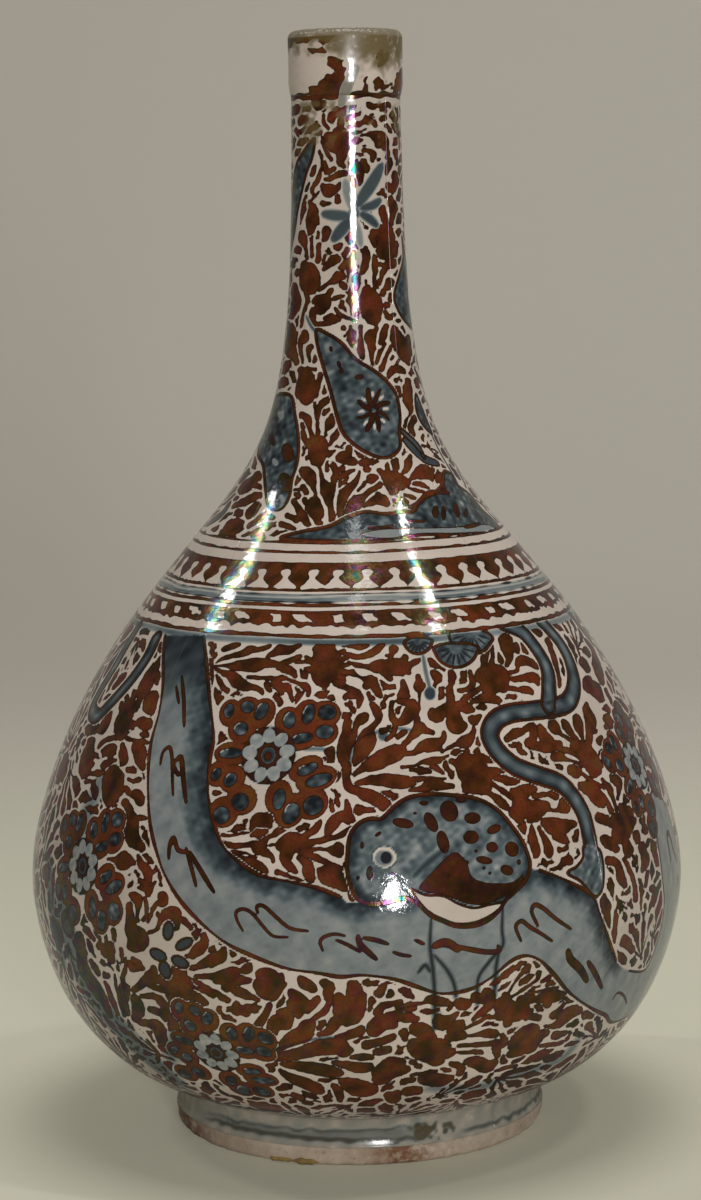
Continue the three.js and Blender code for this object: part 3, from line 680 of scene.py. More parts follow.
    (206,1533,11, 11,-9,14, 11,-5,7), (189,1510,14, 6,3,8), (189,1454,25, -11,6,22),
    (183,1482,17, -5,22,25, -6,23,31, -3,20,20), (181,1547,10, 25,-3,8),
    (228,1541,25, -2,20,48, -6,28,39, -3,17,17), (234,1577,31), (254,1538,11, 14,3,12, -3,-6,8),
    (256,1558,7, 12,3,8, 11,-3,11), (251,1577,14, 14,14,11, 8,-2,22, 6,11,20, 0,8,8),
    (251,1606,17, 8,14,17, 9,14,17), (262,1639,34, 0,23,36, 6,19,31, 16,14,17), (276,1636,11, 20,0,7),
    (186,1566,11, 3,17,17, 0,14,8), (172,1561,8, 17,2,7),
    (212,1620,8, -3,25,11, 3,14,14, 16,-11,17, 3,-17,8), (228,1611,11, 6,28,14, 3,23,10, -3,22,8),
    (195,1690,7, 11,-17,8, 11,-14,7), (217,1426,11, -8,20,17, -9,16,14),
    (277,1713,10, 6,16,18, 10,12,22, 3,20,16), (310,1741,8, -14,10,10),
    (280,1761,13, 13,12,16, 3,16,13), (310,1764,8, -11,19,13), (277,1775,8, 13,5,10),
    (264,1789,13, 10,7,22, 3,9,16, -3,23,8, 0,12,13), (290,1796,8, 3,32,8, -7,12,10),
    (325,1792,22, 0,13,19, -13,3,8, -10,20,8, -6,15,8), (334,1831,29, 13,-3,32, -3,19,35, -10,6,19),
    (366,1840,16, 16,16,11), (315,1828,10, 6,12,10, -9,19,8, -16,7,8),
    (258,1812,13, 3,22,19, 3,25,29, 13,20,45, -10,12,29), (290,1879,19),
    (408,1869,10, 3,16,14, -13,13,26, -16,12,13, -10,4,8), (430,1917,26, -13,6,22, -25,13,10),
    (357,1942,35, -4,23,48, 10,19,35), (337,1974,19, 42,-3,19), (315,1955,8, 19,0,8),
    (306,1936,13, 0,13,19, -13,12,18, -13,13,13, -11,8,11), (299,1971,10, 16,6,10, 13,5,8),
    (392,1952,8, 25,3,8, 23,0,13), (385,1974,8, 23,7,10, 19,12,10), (382,1993,13, 13,19,16),
    (267,1920,13, 13,10,13), (251,1917,6, 0,19,8, -6,19,10, 3,13,13), (258,1923,8, 6,13,13, 19,0,13),
    (242,1898,6, 3,25,8), (213,1904,29, 6,-13,19, 4,29,19), (200,1891,19), (210,1863,8, 3,22,10),
    (188,1847,13, 6,19,13, 6,13,8), (226,1859,10, 3,20,8), (172,1859,16, 16,20,10),
    (181,1923,11, 10,13,16, 6,13,11),
    (156,1879,29, 6,25,26, 3,32,29, 16,29,29, 13,16,29, 13,25,19, 12,26,16),
    (210,1965,8, 13,32,13, 12,31,10), (229,1949,6, 6,38,8, 13,45,10), (248,1977,26, 0,26,19, 7,25,13),
    (270,1997,19, 7,19,29, -7,22,19), (283,1993,10, 26,0,13, 16,13,19, 9,19,19),
    (299,2019,13, 22,6,16, 10,13,13), (341,2012,19, 6,23,26, 6,32,29, 7,25,19),
    (357,2016,16, 19,16,26, 9,9,16), (347,1997,10, 16,9,13, 19,10,13),
    (277,2044,13, 19,4,19, 19,6,26, 10,29,26), (593,203,15, -5,20,15), (629,206,15, 10,5,15, 8,10,10),
    (606,239,15, -5,7,13), (601,285,15, 10,-3,13), (596,305,13), (647,231,8, 1,15,9, 9,11,8),
    (657,274,23, 13,16,33, 10,-21,33, 5,31,28, -3,23,15, 6,10,10), (682,241,15, -2,21,15),
    (644,274,6, 4,21,7, 14,23,8), (649,325,10, 5,18,13, 13,-5,8), (629,333,8, -5,15,8),
    (652,359,8, 18,-7,10, 15,-5,15, 8,1,10), (639,302,7, 5,21,6, -7,36,6, -13,17,8, 2,13,8),
    (647,374,15, 10,8,26, 15,-3,15, 10,-10,13), (675,394,13, 2,8,9),
    (619,404,10, 7,13,15, -2,23,26, -3,23,15), (637,384,6, -11,13,8), (647,458,8, 7,8,23, -5,12,8),
    (603,468,13, 2,13,15, 6,15,8, 3,21,8), (624,473,6, -2,21,6, 2,18,10), (637,491,8, 0,28,13),
    (596,501,15), (608,527,15, 6,20,38, 5,21,41), (598,545,15),
    (649,537,10, 8,-8,15, 10,-10,20, 8,0,15), (649,512,8, -2,15,8),
    (652,570,8, 15,-10,13, 13,-8,20, 8,3,10), (685,535,15, 8,-11,13), (688,573,15),
    (695,468,18, 5,16,13), (736,206,10, 8,7,15, 10,-2,10, 10,-5,20, 13,2,15), (764,218,10, 8,3,8),
    (767,236,13, -5,3,10), (749,246,13), (786,231,13, 1,10,8), (774,251,10, 5,8,10, 3,5,8),
    (723,271,6, 16,-2,8, 15,5,23, 10,8,31, 10,13,10, 4,13,7, -4,10,6), (756,290,15), (726,292,6, 5,0,5),
    (726,301,8, 13,1,9, 9,8,13, -3,9,8), (756,319,8), (726,323,13, 5,13,15, 2,7,8),
    (782,318,8, -4,13,15, -6,15,7), (790,302,10, 3,16,8), (790,348,15, 2,16,15, -8,15,15, -7,-10,8),
    (782,397,10, 5,15,20, -1,15,13, -4,21,8), (800,379,8, -3,20,8), (739,425,10, 10,15,8, 5,10,8),
    (764,417,15, 5,16,15, 3,17,13), (749,466,15, 15,-3,28, 13,-2,23, -3,25,41, -5,21,28),
    (790,489,15, -3,18,15), (746,473,15, 3,18,10), (728,499,18, 5,15,18, -5,21,15, -5,12,8),
    (749,514,10, 1,18,13, -1,18,8, 0,28,8), (754,529,10, 10,0,9),
    (784,527,23, -10,5,18, -7,13,8, -8,23,7), (779,563,18, -2,12,13), (800,430,10, -3,15,8),
    (736,573,10), (609,565,26, 13,8,31, -8,13,15, 0,17,8, -8,23,8, -4,28,6), (652,570,10, -13,10,10),
    (662,565,10, 13,-2,8), (685,570,15, 6,5,10), (632,601,15, 15,2,33, -5,13,28), (657,588,13, 5,-8,8),
    (668,598,10, 20,-6,6), (629,621,15, -7,21,15, 12,7,10), (637,649,10, 18,-4,10, 23,-6,10),
    (650,637,10, 12,-3,15, 11,3,10), (670,616,6, 10,13,10, 18,8,8, 10,5,5), (688,657,10), (689,672,6),
    (588,575,13, 3,18,13, -3,23,18, -5,18,10), (578,647,8, 5,25,23, -5,26,28, 10,15,10, 4,13,8),
    (608,665,13, -2,12,18, -7,8,10, 2,23,6, 4,18,6), (624,693,9, -7,7,10, 2,23,6),
    (601,739,15, 10,15,33, -2,23,41, 5,20,26), (614,736,10, 15,3,8), (642,749,10, -8,23,15, -7,18,15),
    (573,728,13, -2,11,15), (581,744,8, 7,18,10), (568,764,15, -10,5,10),
    (662,795,13, -10,7,15, -13,11,13, -2,15,8, -3,20,8, 2,18,10), (629,805,6, 3,33,6),
    (604,830,13, 10,8,15, 5,18,10, 5,15,10), (665,833,15, -5,15,20, -8,13,6, -1,10,6),
    (678,861,13, -10,13,13, -8,15,8), (606,866,13, 5,15,13, 8,11,13),
    (622,881,15, 15,8,38, -3,20,38, 3,16,20), (655,907,15, 15,-6,6), (637,930,8, 5,13,7, 4,15,7),
    (614,915,10), (698,897,15, -2,12,15, -13,0,15, -5,8,15, 15,5,15, 13,0,15), (719,945,6, -6,13,6),
    (734,580,20, 8,26,48, 2,20,41, 5,16,20), (729,631,15), (764,588,10, 6,-13,8, 5,-15,7),
    (772,611,13, 5,-1,10), (770,624,10, 7,10,10, 13,-5,8), (731,560,6, 2,15,6), (757,560,6, -3,15,6),
    (782,565,18), (721,654,8, -1,21,7, 1,23,13, 3,20,10),
    (752,649,6, -3,16,10, -7,7,23, 2,18,15, 0,23,8, 0,18,6), (772,652,8, -5,18,15, -5,15,13),
    (770,688,8, -11,20,9, -5,15,8), (782,693,9, -12,25,9, -8,21,8, -5,10,7),
    (790,657,8, 5,18,28, 10,20,33, 8,18,28), (821,708,11, -5,-33,10), (816,726,10),
    (810,744,8, -10,-5,18, -13,0,15, -10,15,8, -10,5,6),
    (816,764,15, 0,26,23, 2,17,18, 3,16,6, -8,18,6, -5,15,8), (795,777,13, 5,15,8),
    (833,759,10, 3,15,8), (828,838,15, -7,15,13, 7,18,8), (519,951,13, -15,11,18, -15,10,26, -10,10,10),
    (517,972,13, -13,-3,8), (494,946,15, -15,18,10), (512,990,15, -16,10,18, -12,5,13, -16,8,8),
    (514,1010,18, -12,13,23, -6,8,13), (476,1025,18), (522,1033,15, -13,10,10, -13,8,8),
    (473,1048,28, -15,11,33, -7,15,18, 0,18,8), (484,1043,10, -41,21,15), (466,1076,15, 7,11,10),
    (484,1071,7, 18,-5,8, 17,-7,10), (489,1084,18, -5,13,15), (514,1074,31, 10,10,23),
    (412,1069,15, -10,7,15), (422,1079,6, 21,-10,6), (428,1089,15, -16,-2,8),
    (604,941,15, 12,8,28, 5,10,23, 8,23,6, 3,15,13), (606,974,15, 8,11,10), (588,979,6, 16,-2,8),
    (629,1005,28, 5,18,26, 5,10,13), (609,1000,13, 12,13,15),
    (639,931,5, 5,26,10, 11,22,28, 2,16,23, 5,23,10, 3,15,13, -1,10,10),
    (667,931,15, 5,15,15, -5,18,13, -2,18,13), (678,954,8, 12,-8,9, 18,-6,6), (685,936,13, -10,5,13),
    (698,977,18, -13,13,18, -5,23,15, 3,20,15), (588,1002,13, 8,13,13, 10,18,20, 10,15,13),
    (576,1031,13, 17,7,15), (563,1048,13, 13,3,13, 15,8,8), (616,1015,13, 13,18,15, 10,13,13),
    (728,925,17, 14,-2,14, 14,-3,8), (733,937,14), (708,941,6, -14,6,8, -14,8,11),
    (719,944,6, -8,20,14, -17,17,20, -8,19,17, -3,17,11),
    (759,941,11, 11,9,17, 14,8,36, 14,6,34, 17,0,17), (787,978,25, -12,-11,17), (775,930,8, 0,14,14),
    (789,922,17, 2,14,14, -2,8,8), (798,953,8, 14,-14,8, 5,-14,17, 3,-14,8),
    (820,958,8, 12,-8,14, 14,-6,31, 14,3,20, 5,11,8), (865,939,11), (742,958,20, 11,-5,8),
    (731,964,8, -15,17,8), (761,969,11, -19,12,11, -14,11,14, -17,14,31, -14,17,17),
    (826,967,7, 14,1,10, 17,7,7), (817,975,6, 20,6,8, 11,2,7), (809,989,7, 17,6,7, 11,5,6),
    (728,1012,8, 19,-12,17, 14,-3,22, 14,9,14), (756,989,14), (809,1003,14),
]
SIDE = math.pi / 2 + 0.03  # the angle where the banks of the front and of the back meet
STREAM_BLUE = 0.41
FOLIAGE_TOP, COLLAR_LINE, INK_LINE, COLLAR_FOOT = 280.4, 282.2, 282.4, 283  # heights


def two_sides(points, closed=True, per=6):
    """A shape drawn over the photograph, on the front, and its mirror image on the back."""
    return both(smooth(on_surface(points), closed, per))


def mm_per_px(points):
    """Size of a pixel on the surface near these points."""
    t, s = on_surface([np.mean(np.array(points, float), axis=0)])[0]
    place = np.array([r_of_s(s) * math.sin(t), -r_of_s(s) * math.cos(t), z_of_s(s)])
    return float(np.dot(place - EYE, FORWARD) / FOCAL_PX)


def brush(points, width_px, ends=0.62, **how):
    """A brush stroke that swells in the middle and thins at its ends."""
    half = width_px / 2 * mm_per_px(points)
    for curve in two_sides(points, closed=False, per=4):
        t = np.linspace(0, 1, len(curve))
        stroke(curve, half * (ends + (1 - ends) * np.sin(math.pi * t) ** 0.6), **how)


def spots(items, **how):
    for x, y, a, b, turn in items:
        ring = [(x + a * math.cos(p) * math.cos(turn) + b * math.sin(p) * math.sin(turn),
                 y - a * math.cos(p) * math.sin(turn) + b * math.sin(p) * math.cos(turn))
                for p in np.linspace(0, 2 * math.pi, 12, endpoint=False)]
        for shape in two_sides(ring, per=2):
            area(shape, **how)


def fill(points, **how):
    for shape in two_sides(points):
        area(shape, **how)


def marks(items):
    """Brush strokes in lustre, each with a width of its own."""
    for points, width in items:
        brush(points, width, reserve=False)


def wipe(points, half_px, deep):
    """Takes the lustre off along the middle of a stroke."""
    half = half_px * mm_per_px(BRANCH)
    for curve in two_sides(points, False):
        for p in near_line(curve, half):
            p.put("lustre", np.where(p.d > deep, -2, p.get("lustre")))


def stream_banks():
    """The lower bank, and the upper one with the hump that it ends in at the bottle's side."""
    low, high = on_surface(STREAM_LOW), on_surface(STREAM_HIGH)
    (t0, s0), s1 = high[0], low[-1, 1]
    hump = [(SIDE, s1 + 13), (SIDE - 0.1, s1 + 14), (t0 + 0.62 * (SIDE - t0), s1 + 22),
            (t0 + 0.4 * (SIDE - t0), s0 - 7), (t0 + 0.2 * (SIDE - t0), s0 + 1.5)]
    return np.vstack([low, (SIDE, s1 + 0.5)]), np.vstack([hump, high])


def dark_bank(bank):
    """The water gets darker towards the upper bank."""
    for curve in both(smooth(bank, False, 6)):
        for p in near_line(curve, reach=10):
            upright = ramp(p.s, s_of_z(80), s_of_z(96))
            amount = STREAM_BLUE + 0.3 * ramp(p.d, -6.5 - 3 * upright, -2 - 3 * upright)
            amount = amount + 0.34 * ramp(p.d, -3.6 - 2 * upright, -0.4)
            amount = amount * (p.get("occupied") > 0)
            p.lift("blue", amount * (1 + 0.09 * wobble(p.s, p.t) + 0.06 * tremble(p.s, p.t)))


def paint_stream():
    low, high = stream_banks()
    front = np.vstack([smooth(low, False, 6), smooth(high, False, 6)])
    top, bottom = s_of_z(143), s_of_z(118)

    def shade(p):
        return (1 + 0.08 * wobble(p.s, p.t)) * (1 + 1.7 * ramp(p.s, bottom, top))

    for shape in both(front):
        area(shape, blue=STREAM_BLUE, shade=shade)
    dark_bank(high[12:])
    for line in (low, high[12:19], high[23:]):
        for curve in both(smooth(line, False, 6)):
            stroke(curve, 0.5 + 0.14 * np.sin(np.arange(len(curve)) * 0.37))
    for curve in both(smooth(high[:12], False, 6)):
        stroke(curve, 0.4)
    (t0, s0), s1 = high[5], low[-2, 1]
    for t, s in ((t0 + 0.08, s0 - 16), (t0 + 0.16, s0 - 30), (SIDE - 0.12, s1 + 5)):
        wave = [(t, s - 2), (t, s + 4), (t + 0.03, s + 5), (t + 0.06, s - 1), (t + 0.09, s - 4)]
        for curve in both(smooth(wave, False, 4)):
            stroke(curve, 0.55 + 0.2 * np.sin(np.linspace(0, math.pi, len(curve))), reserve=False)
    marks((points, 1.4 * width) for points, width in SQUIGGLES)


def paint_bird():
    def plumage(p):
        rim = 0.8 * ramp(-p.d, -3.4, -0.3)
        return 1 + 0.14 * wobble(p.s, p.t) + 0.12 * tremble(p.s, p.t) + rim

    fill(BIRD, blue=0.57, clear=True, edge=0.6, shade=plumage)
    fill(CRESCENT, blue=0.0, clear=True, soft=0.15, edge=0.35)
    fill(WING, lustre=True)
    spots(SPOTS, lustre=True, reserve=False)
    spots([(384.5, 857, 13.5, 12.5, 0)], blue=0.9, soft=0.3, reserve=False)
    spots([(384.5, 857, 12, 11, 0)], clear=True, blue=0.0, soft=0.1)
    spots([(384, 858, 9, 8, 0)], blue=0.5, soft=0.2, reserve=False)
    spots([(386, 857.5, 5.6, 6, 0)], ink=True, blue=0.95, reserve=False)
    brush([(414, 876), (424, 866), (436, 856), (444, 850)], 9, blue=0.95, reserve=False, soft=1.2)
    for leg in LEGS:
        brush(leg, 7, blue=0.8, reserve=False, soft=0.6)
        brush(leg, 2.6, field="ink", reserve=False)


def paint_branches():
    for points, width in ((BRANCH_LEFT, 17), (BRANCH, 18), (LOOP, 15)):
        for curve in two_sides(points, closed=False, per=5):
            for p in near_line(curve, width / 2 * mm_per_px(points)):
                grain = 0.84 + 0.12 * wobble(p.s, p.t) + 0.5 * ramp(-p.d, -1.9, -0.5)
                p.lift("blue", 0.78 * grain * ramp(p.d, -0.3, 0.4))
                p.lift("lustre", 0.48 - np.abs(p.d))
                p.lift("occupied", p.d + 0.5)
    wipe(BRANCH_LEFT[2:], 8, 0.5)
    wipe(BRANCH[2:6], 8, 0.5)
    fill(BRANCH_FOOT, blue=0.66, edge=0.45, clear=True, shade=mottled)
    wipe(BRANCH[15:] + [(589, 866)], 7.5, 0.3)
    for points in RIGHT_LIMB:
        brush(points, 13, blue=0.95, edge=0.4)


def rosette(t0, s0, scale=1.0, turn=0.0, flip=1):
    """A pale rosette with dark clusters of petals round it."""
    def put(points, **how):
        area(local(t0, s0, points, turn, scale, flip), **how)

    for x, y, a, b, tilt in CLUSTERS:
        put(oval(0.95 * x, 0.95 * y, a + 2.1, b + 2.0, tilt), lustre=True, gold=True)
    put(oval(0, 0, 7.3, 7.7), lustre=True, blue=0.9)
    for x, y, a, b, tilt in CLUSTERS:
        put(oval(x, y, a, b, tilt), clear=True, soft=0.12, reserve=False)
        put(oval(x, y, a + 0.3, b + 0.3, tilt), blue=1.0, soft=0.2, reserve=False, shade=mottled)
        if (x * 7 + y * 3) % 2 > 0.8:
            p = np.linspace(1.7, 3.3, 6)
            rim = np.column_stack([x + 0.95 * a * np.cos(p), y + 0.95 * b * np.sin(p)])
            p = p[4:0:-1]
            inner = np.column_stack([x + 0.78 * a * np.cos(p), y + 0.78 * b * np.sin(p)])
            put(np.vstack([rim, inner]), clear=True, blue=0.08, soft=0.08, reserve=False)
    for k in range(9):
        p = 2 * math.pi * k / 9 + 0.25
        petal = oval(5.0 * math.cos(p), 5.2 * math.sin(p), 2.05, 1.75 + 0.15 * math.sin(5 * k), p)
        put(petal, clear=True, blue=0.34, soft=0.25, reserve=False, shade=mottled)
    put(oval(0, 0, 3.0, 3.4), lustre=True, blue=0.5, reserve=False, gold=True)
    put(oval(0.1, 0, 1.9, 2.2), clear=True, blue=1.0, reserve=False)
    put(oval(0, -0.2, 1.1, 1.3), lustre=True, reserve=False)


def paint_rosettes():
    for place, scale, tilt in ROSETTES:
        t0, s0 = on_surface([place])[0]
        rosette(t0, s0, scale, tilt)
        rosette(math.pi - t0, s0, scale, -tilt, -1)
    for x, y, tilt in BUDS:
        spots([(x, y, 9, 5, tilt)], blue=0.95, edge=0.35)


def leaf_wheel(x0, y0):
    """Eight lustre rays with a white fleck between each two."""
    def at(r, p):
        return x0 + r * 0.86 * math.cos(p), y0 + r * 1.16 * math.sin(p)

    for k in range(8):
        p = k * math.pi / 4 + 0.2
        brush([at(3, p), at(11, p + 0.08), at(20, p + 0.25)], 4.6 + k % 3, 0.4, reserve=False)
        x, y = at(14, p + 0.5)
        spots([(x, y, 3.4, 1.5, -p - 0.5)], clear=True, blue=0.0, soft=0.1, reserve=False)


def paint_shoulder_and_neck():
    fill(LEAF, blue=0.76, edge=0.55, shade=mottled)
    spots(LEAF_MARKS, lustre=True, reserve=False)
    leaf_wheel(373.5, 410)
    brush([(401, 430), (417, 445), (424, 457)], 6, blue=0.8, edge=0.35)
    brush([(316, 332), (311, 326), (306, 316)], 3.0, blue=0.8)
    fill(DROP, blue=0.85, edge=0.55, shade=mottled)
    spots(DROP_MARKS, lustre=True, reserve=False)
    for x, y in ((281, 415), (275, 462), (282, 498)):
        spots([(x, y, 2.6, 4, 0.5)], clear=True, blue=0.4, soft=0.5, reserve=False)
    fill(HILL, blue=0.84, edge=0.65, shade=mottled)
    fill(HILL_PALE, blue=0.4, clear=True, edge=0.25, reserve=False)
    spots(WINDOWS, lustre=True, reserve=False)
    marks(HILL_LINES)
    for points, width, strength in STAR:
        brush(points, width, 0.35, blue=strength, soft=0.45)
    spots([(354, 213.5, 6, 6, 0)], blue=0.7, soft=0.5)
    for points in (NECK_LEFT, NECK_RIGHT, NECK_LOW):
        fill(points, blue=0.85, edge=0.5, shade=mottled)
    brush([(405, 440), (424, 458), (438, 463)], 9, blue=0.85, edge=0.3)
    brush([(430, 430), (452, 472), (460, 488), (480, 517)], 3.6, blue=0.9)
    brush([(228, 504), (221, 514), (208, 523)], 12, blue=0.85, edge=0.3)


def paint_washes_and_shade():
    """Blue-grey wash that lies under the leaves in places; along the left edge and low on the belly it
    is also painted shade.
    """
    for points, width, strength in WASHES_AND_SHADE:
        brush(points, width, blue=strength, reserve=False, soft=2.2)


def paint_fans():
    for x, y, size, tilt in ((471, 633, 22, 0.15), (456, 646, 22, 0), (418, 640, 14, -0.1)):
        rim = [(x + size * math.cos(p + tilt), y + size * 0.95 * math.sin(p + tilt))
               for p in np.linspace(0.05, math.pi - 0.05, 12)]
        for shape in two_sides(rim + [(x - size * 0.5, y - 3), (x + size * 0.5, y - 3)], per=3):
            area(shape, blue=0.72, clear=True, edge=0.5, shade=mottled)
        for p in np.linspace(0.3, math.pi - 0.3, 8):
            rib = [(x + k * size * math.cos(p), y + k * size * math.sin(p)) for k in (0.35, 0.6, 0.86)]
            brush(rib, 2.4, field="ink", reserve=False)
    brush([(423, 655), (426, 672), (430, 688)], 4.4, blue=0.62)
    spots([(430, 693, 5.5, 6.5, 0)], blue=0.95)
    for points in TENDRILS:
        brush(points, 4.0, blue=0.62, reserve=False)
    spots([(383, 735, 5, 5.5, 0.3)], blue=0.75, reserve=False)


# The bands round the shoulder, by the heights of their edges.
RULES = ((165.6, 0.42), (163.3, 0.46), (150.6, 0.5), (143.4, 0.62))  # height and half width
SPADES, LOZENGES, GREY = (153.8, 160.9), (145.7, 149.4), (151.3, 153.3)
WASH, BANDS_END = 142.0, 142.2
SPADE_COUNT, LOZENGE_COUNT, TONGUES = 43, 42, 83  # round the whole bottle
SPADE = ((.1, 3.7), (.18, 3.3), (.3, 1.9), (.42, .9), (.5, .75), (.6, 1.5), (.7, 1.5), (.77, .3))


def edges(heights):
    """The arc lengths of some heights."""
    return [float(s_of_z(z)) for z in heights]


def spade_band(y, s, t):
    """Lustre with a row of white spades left out. SPADE is a spade's half width in mm by height."""
    a, b = edges(SPADES)
    band = np.minimum(y - a, b - y) + 0.05 * wobble(s, t)
    turns = t * SPADE_COUNT / (2 * math.pi)
    number = np.floor(turns)
    vary = np.sin(number * 12.9898) * 0.5
    u, v = (turns % 1) - 0.5 + 0.07 * np.sin(number * 4.1), (y - a) / (b - a)
    x = np.abs(u + 0.05 * np.sin(7 * (y - a) / (b - a) + number)) * 7.5
    half = np.interp(v, *zip(*SPADE)) * (1 + 0.1 * vary)
    white = np.minimum(half - x, np.minimum(v - 0.11, 0.76 + 0.03 * vary - v) * (b - a))
    return np.minimum(band, -(white + 0.1 * tremble(s, t)) * 0.85)


def lozenge_band(y, s, t):
    """Lustre with a ragged lower edge and a row of white lozenges left out."""
    a, b = edges(LOZENGES)
    tongues = 0.45 * np.maximum(-0.25, np.sin(t * TONGUES + 2.6 * slow(s, t)))
    tongues = tongues + 0.3 * wobble(s, t) + 0.2 * tremble(s, t)
    band = np.minimum(y - a + tongues, b - y + 0.05 * wobble(s, t))
    turns = t * LOZENGE_COUNT / (2 * math.pi)
    number = np.floor(turns)
    vary = np.sin(number * 78.233)
    u = (turns % 1) - 0.5 + 0.12 * np.sin(number * 2.7)
    x, v = u * 8.2 + 0.35 * vary * (y - (a + b) / 2), y - (a + b) / 2 - 0.2 * vary - 0.1
    x = x + 0.7 * v
    white = 1.0 - np.maximum(np.abs(x) / (1.45 + 0.35 * vary), np.abs(v) / 1.05)
    return np.minimum(band, -(white + 0.14 * tremble(s, t)))


def band_blue(p, y, inner):
    """The grey stripe with its two ink lines, and the wash under the lowest line."""
    s, t = p.s, p.t
    (low, high), (wash,) = edges(GREY), edges([WASH])
    grey = ramp(np.minimum(y - low, high - y), -0.2, 0.5) * (0.55 + 0.1 * slow(s, t))
    grey = grey * (1 - 0.75 * ramp(0.45 - np.abs(y - high + 0.9 + 0.2 * slow(s, t)), 0, 0.3))
    under = ramp(1.5 - np.abs(y - wash), 0, 1.2) * (0.6 + 0.14 * slow(s, t))
    p.put("blue", np.maximum(np.where(inner, 0, p.get("blue")), np.maximum(grey, under)))
    ink = 0.2 + 0.08 * wobble(s, t) - np.minimum(np.abs(y - high + 0.15), np.abs(y - low - 0.1))
    p.put("ink", np.where(inner, ink, p.get("ink")))


def paint_bands():
    """The ruled lines, the band of spades and the band of lozenges round the shoulder."""
    end, low, top = edges([BANDS_END, RULES[-1][0], RULES[0][0]])
    for belt in BELTS[:2]:
        p = belt.patch(end - 2, top + 2, -math.pi, math.pi)
        if p is None:
            continue
        s, t = p.s, p.t
        y = s + 0.16 * slow(s, t)
        hand = 1 + 0.16 * wobble(s, t)
        lustre = np.maximum(spade_band(y, s, t), lozenge_band(y, s, t))
        for height, half in RULES:
            line = half * hand - np.abs(y - float(s_of_z(height)) - 0.05 * wobble(s, t))
            lustre = np.maximum(lustre, line)
        lustre = np.maximum(lustre, -9.0)
        inner = (y > low - 0.7) & (y < top + 0.5)
        p.put("lustre", np.where(inner, lustre, np.maximum(p.get("lustre"), lustre)))
        band_blue(p, y, inner)
        p.lift("occupied", np.minimum(y - end + 0.3, top + 0.4 - y))


def paint_ends():
    """The line under the collar and, below the painting, the foot."""
    for belt in BELTS:
        p = belt.whole()
        y = p.z + 0.25 * wobble(p.s, p.t)
        if belt.z[0] > 150:
            p.lift("lustre", 0.8 - np.abs(y - COLLAR_LINE))
            p.lift("ink", 0.5 - np.abs(y - INK_LINE))
            p.lift("occupied", y - FOLIAGE_TOP)
    paint_foot(BELTS[0].whole())


def paint_foot(p):
    """Two uneven blue rings on a grey ground, and a brown smudge."""
    s, t = p.s, p.t
    y, low = p.z + 0.25 * wobble(s, t), p.z < 13.6
    p.lift("occupied", float(s_of_z(FOOT_TOP)) + 0.7 - s)
    smudge = 0.9 - np.hypot((t - 0.37) * 7.5, (y - 8.6) / 2.2)
    smudge = smudge + 0.25 * wobble(s, t) + 0.2 * tremble(s, t)
    left, right = ramp(0.45 - t, 0, 0.25) * ramp(t + 1.1, 0, 0.3), ramp(t - 0.5, 0, 0.15)
    away = np.maximum(ramp(t - 1.3, 0, 0.3), ramp(-1.2 - t, 0, 0.3))
    upper, lower = 9.6 + 0.5 * np.sin(2 * t + 0.4), 7.2 - 0.3 * np.sin(3 * t)
    ring = 0.7 * left * np.exp(-((y - upper) / 0.65) ** 2)
    ring = ring + 1.1 * (left + 0.75 * right + 0.6 * away) * np.exp(-((y - lower) / 0.8) ** 2)
    ring = np.maximum(ring, 0.5 * left * ramp(2.4 - np.abs(y - 8.2), 0, 1.2))
    ring = ring * (0.95 + 0.12 * wobble(s, t))
    ring = np.maximum(ring, ramp(smudge, -0.4, 0.5))
    p.put("blue", np.where(low, np.maximum(ring, 0.19 + 0.05 * wobble(s, t)), p.get("blue")))
    p.lift("stain", np.where(low, 0.32 + 0.2 * ramp(smudge, -0.3, 0.4), 0))
    for name in ("lustre", "ink"):
        p.put(name, np.where(low, -2, p.get(name)))


def paint_collar():
    """The collar's worn patches, the stain at its top and the drips just under its line."""
    for shape in COLLAR_PATCHES:
        for side in two_sides(shape, per=4):
            area(side, lustre=True)
    for belt in BELTS[2:]:
        p = belt.whole()
        s, z, t = p.s, p.z, p.t
        rough = np.where(z > COLLAR_FOOT, 0.32 * tremble(s, t) + 0.2 * wobble(s, t), 0)
        p.put("lustre", p.get("lustre") + rough.astype(np.float32))
        edge = 295.2 - 6.5 * np.clip(np.cos(t - 0.75), 0, 1) ** 2
        edge = edge + 0.9 * wobble(s, t) + 0.6 * tremble(s, t)
        top = ramp(z - edge, -1.4, 1.4) * (0.95 - 0.35 * ramp(edge + 4 - z, 0, 4))
        smear = np.exp(-((t + 0.62) / 0.3) ** 2) + np.exp(-((t - 2.4) / 0.5) ** 2) + 0.4
        drip = ramp(0.6 * wobble(s, t) + 0.3 * tremble(s, t) + smear, 0.7, 1.5)
        drip = drip * ramp(z, 264, 275) * ramp(281.5 - z, 0, 1.5) * 0.8
        p.lift("stain", np.maximum(top, drip))


def paint_filler():
    """Filler in an old chip under the collar, laid over the finished painting."""
    for shape in two_sides(FILLER, per=4):
        for p in near_area(shape):
            p.sink("lustre", -p.d)
            p.sink("ink", -p.d)
            p.put("blue", np.where(p.d > 0, 0.28, p.get("blue")))
            p.lift("stain", 0.45 * ramp(p.d, -0.3, 0.5))


# The foliage. Leaves bid for the ground: near is the distance to the nearest leaf's natural
# outline, owner is that leaf, and far is the distance to the next one. Lustre covers a leaf's
# ground but for a thin white gap, so leaves fit each other as the painter's do.
FREE = 9.0  # distance where no leaf has bid yet
FINE = 0.72  # scale of the leaves on the neck


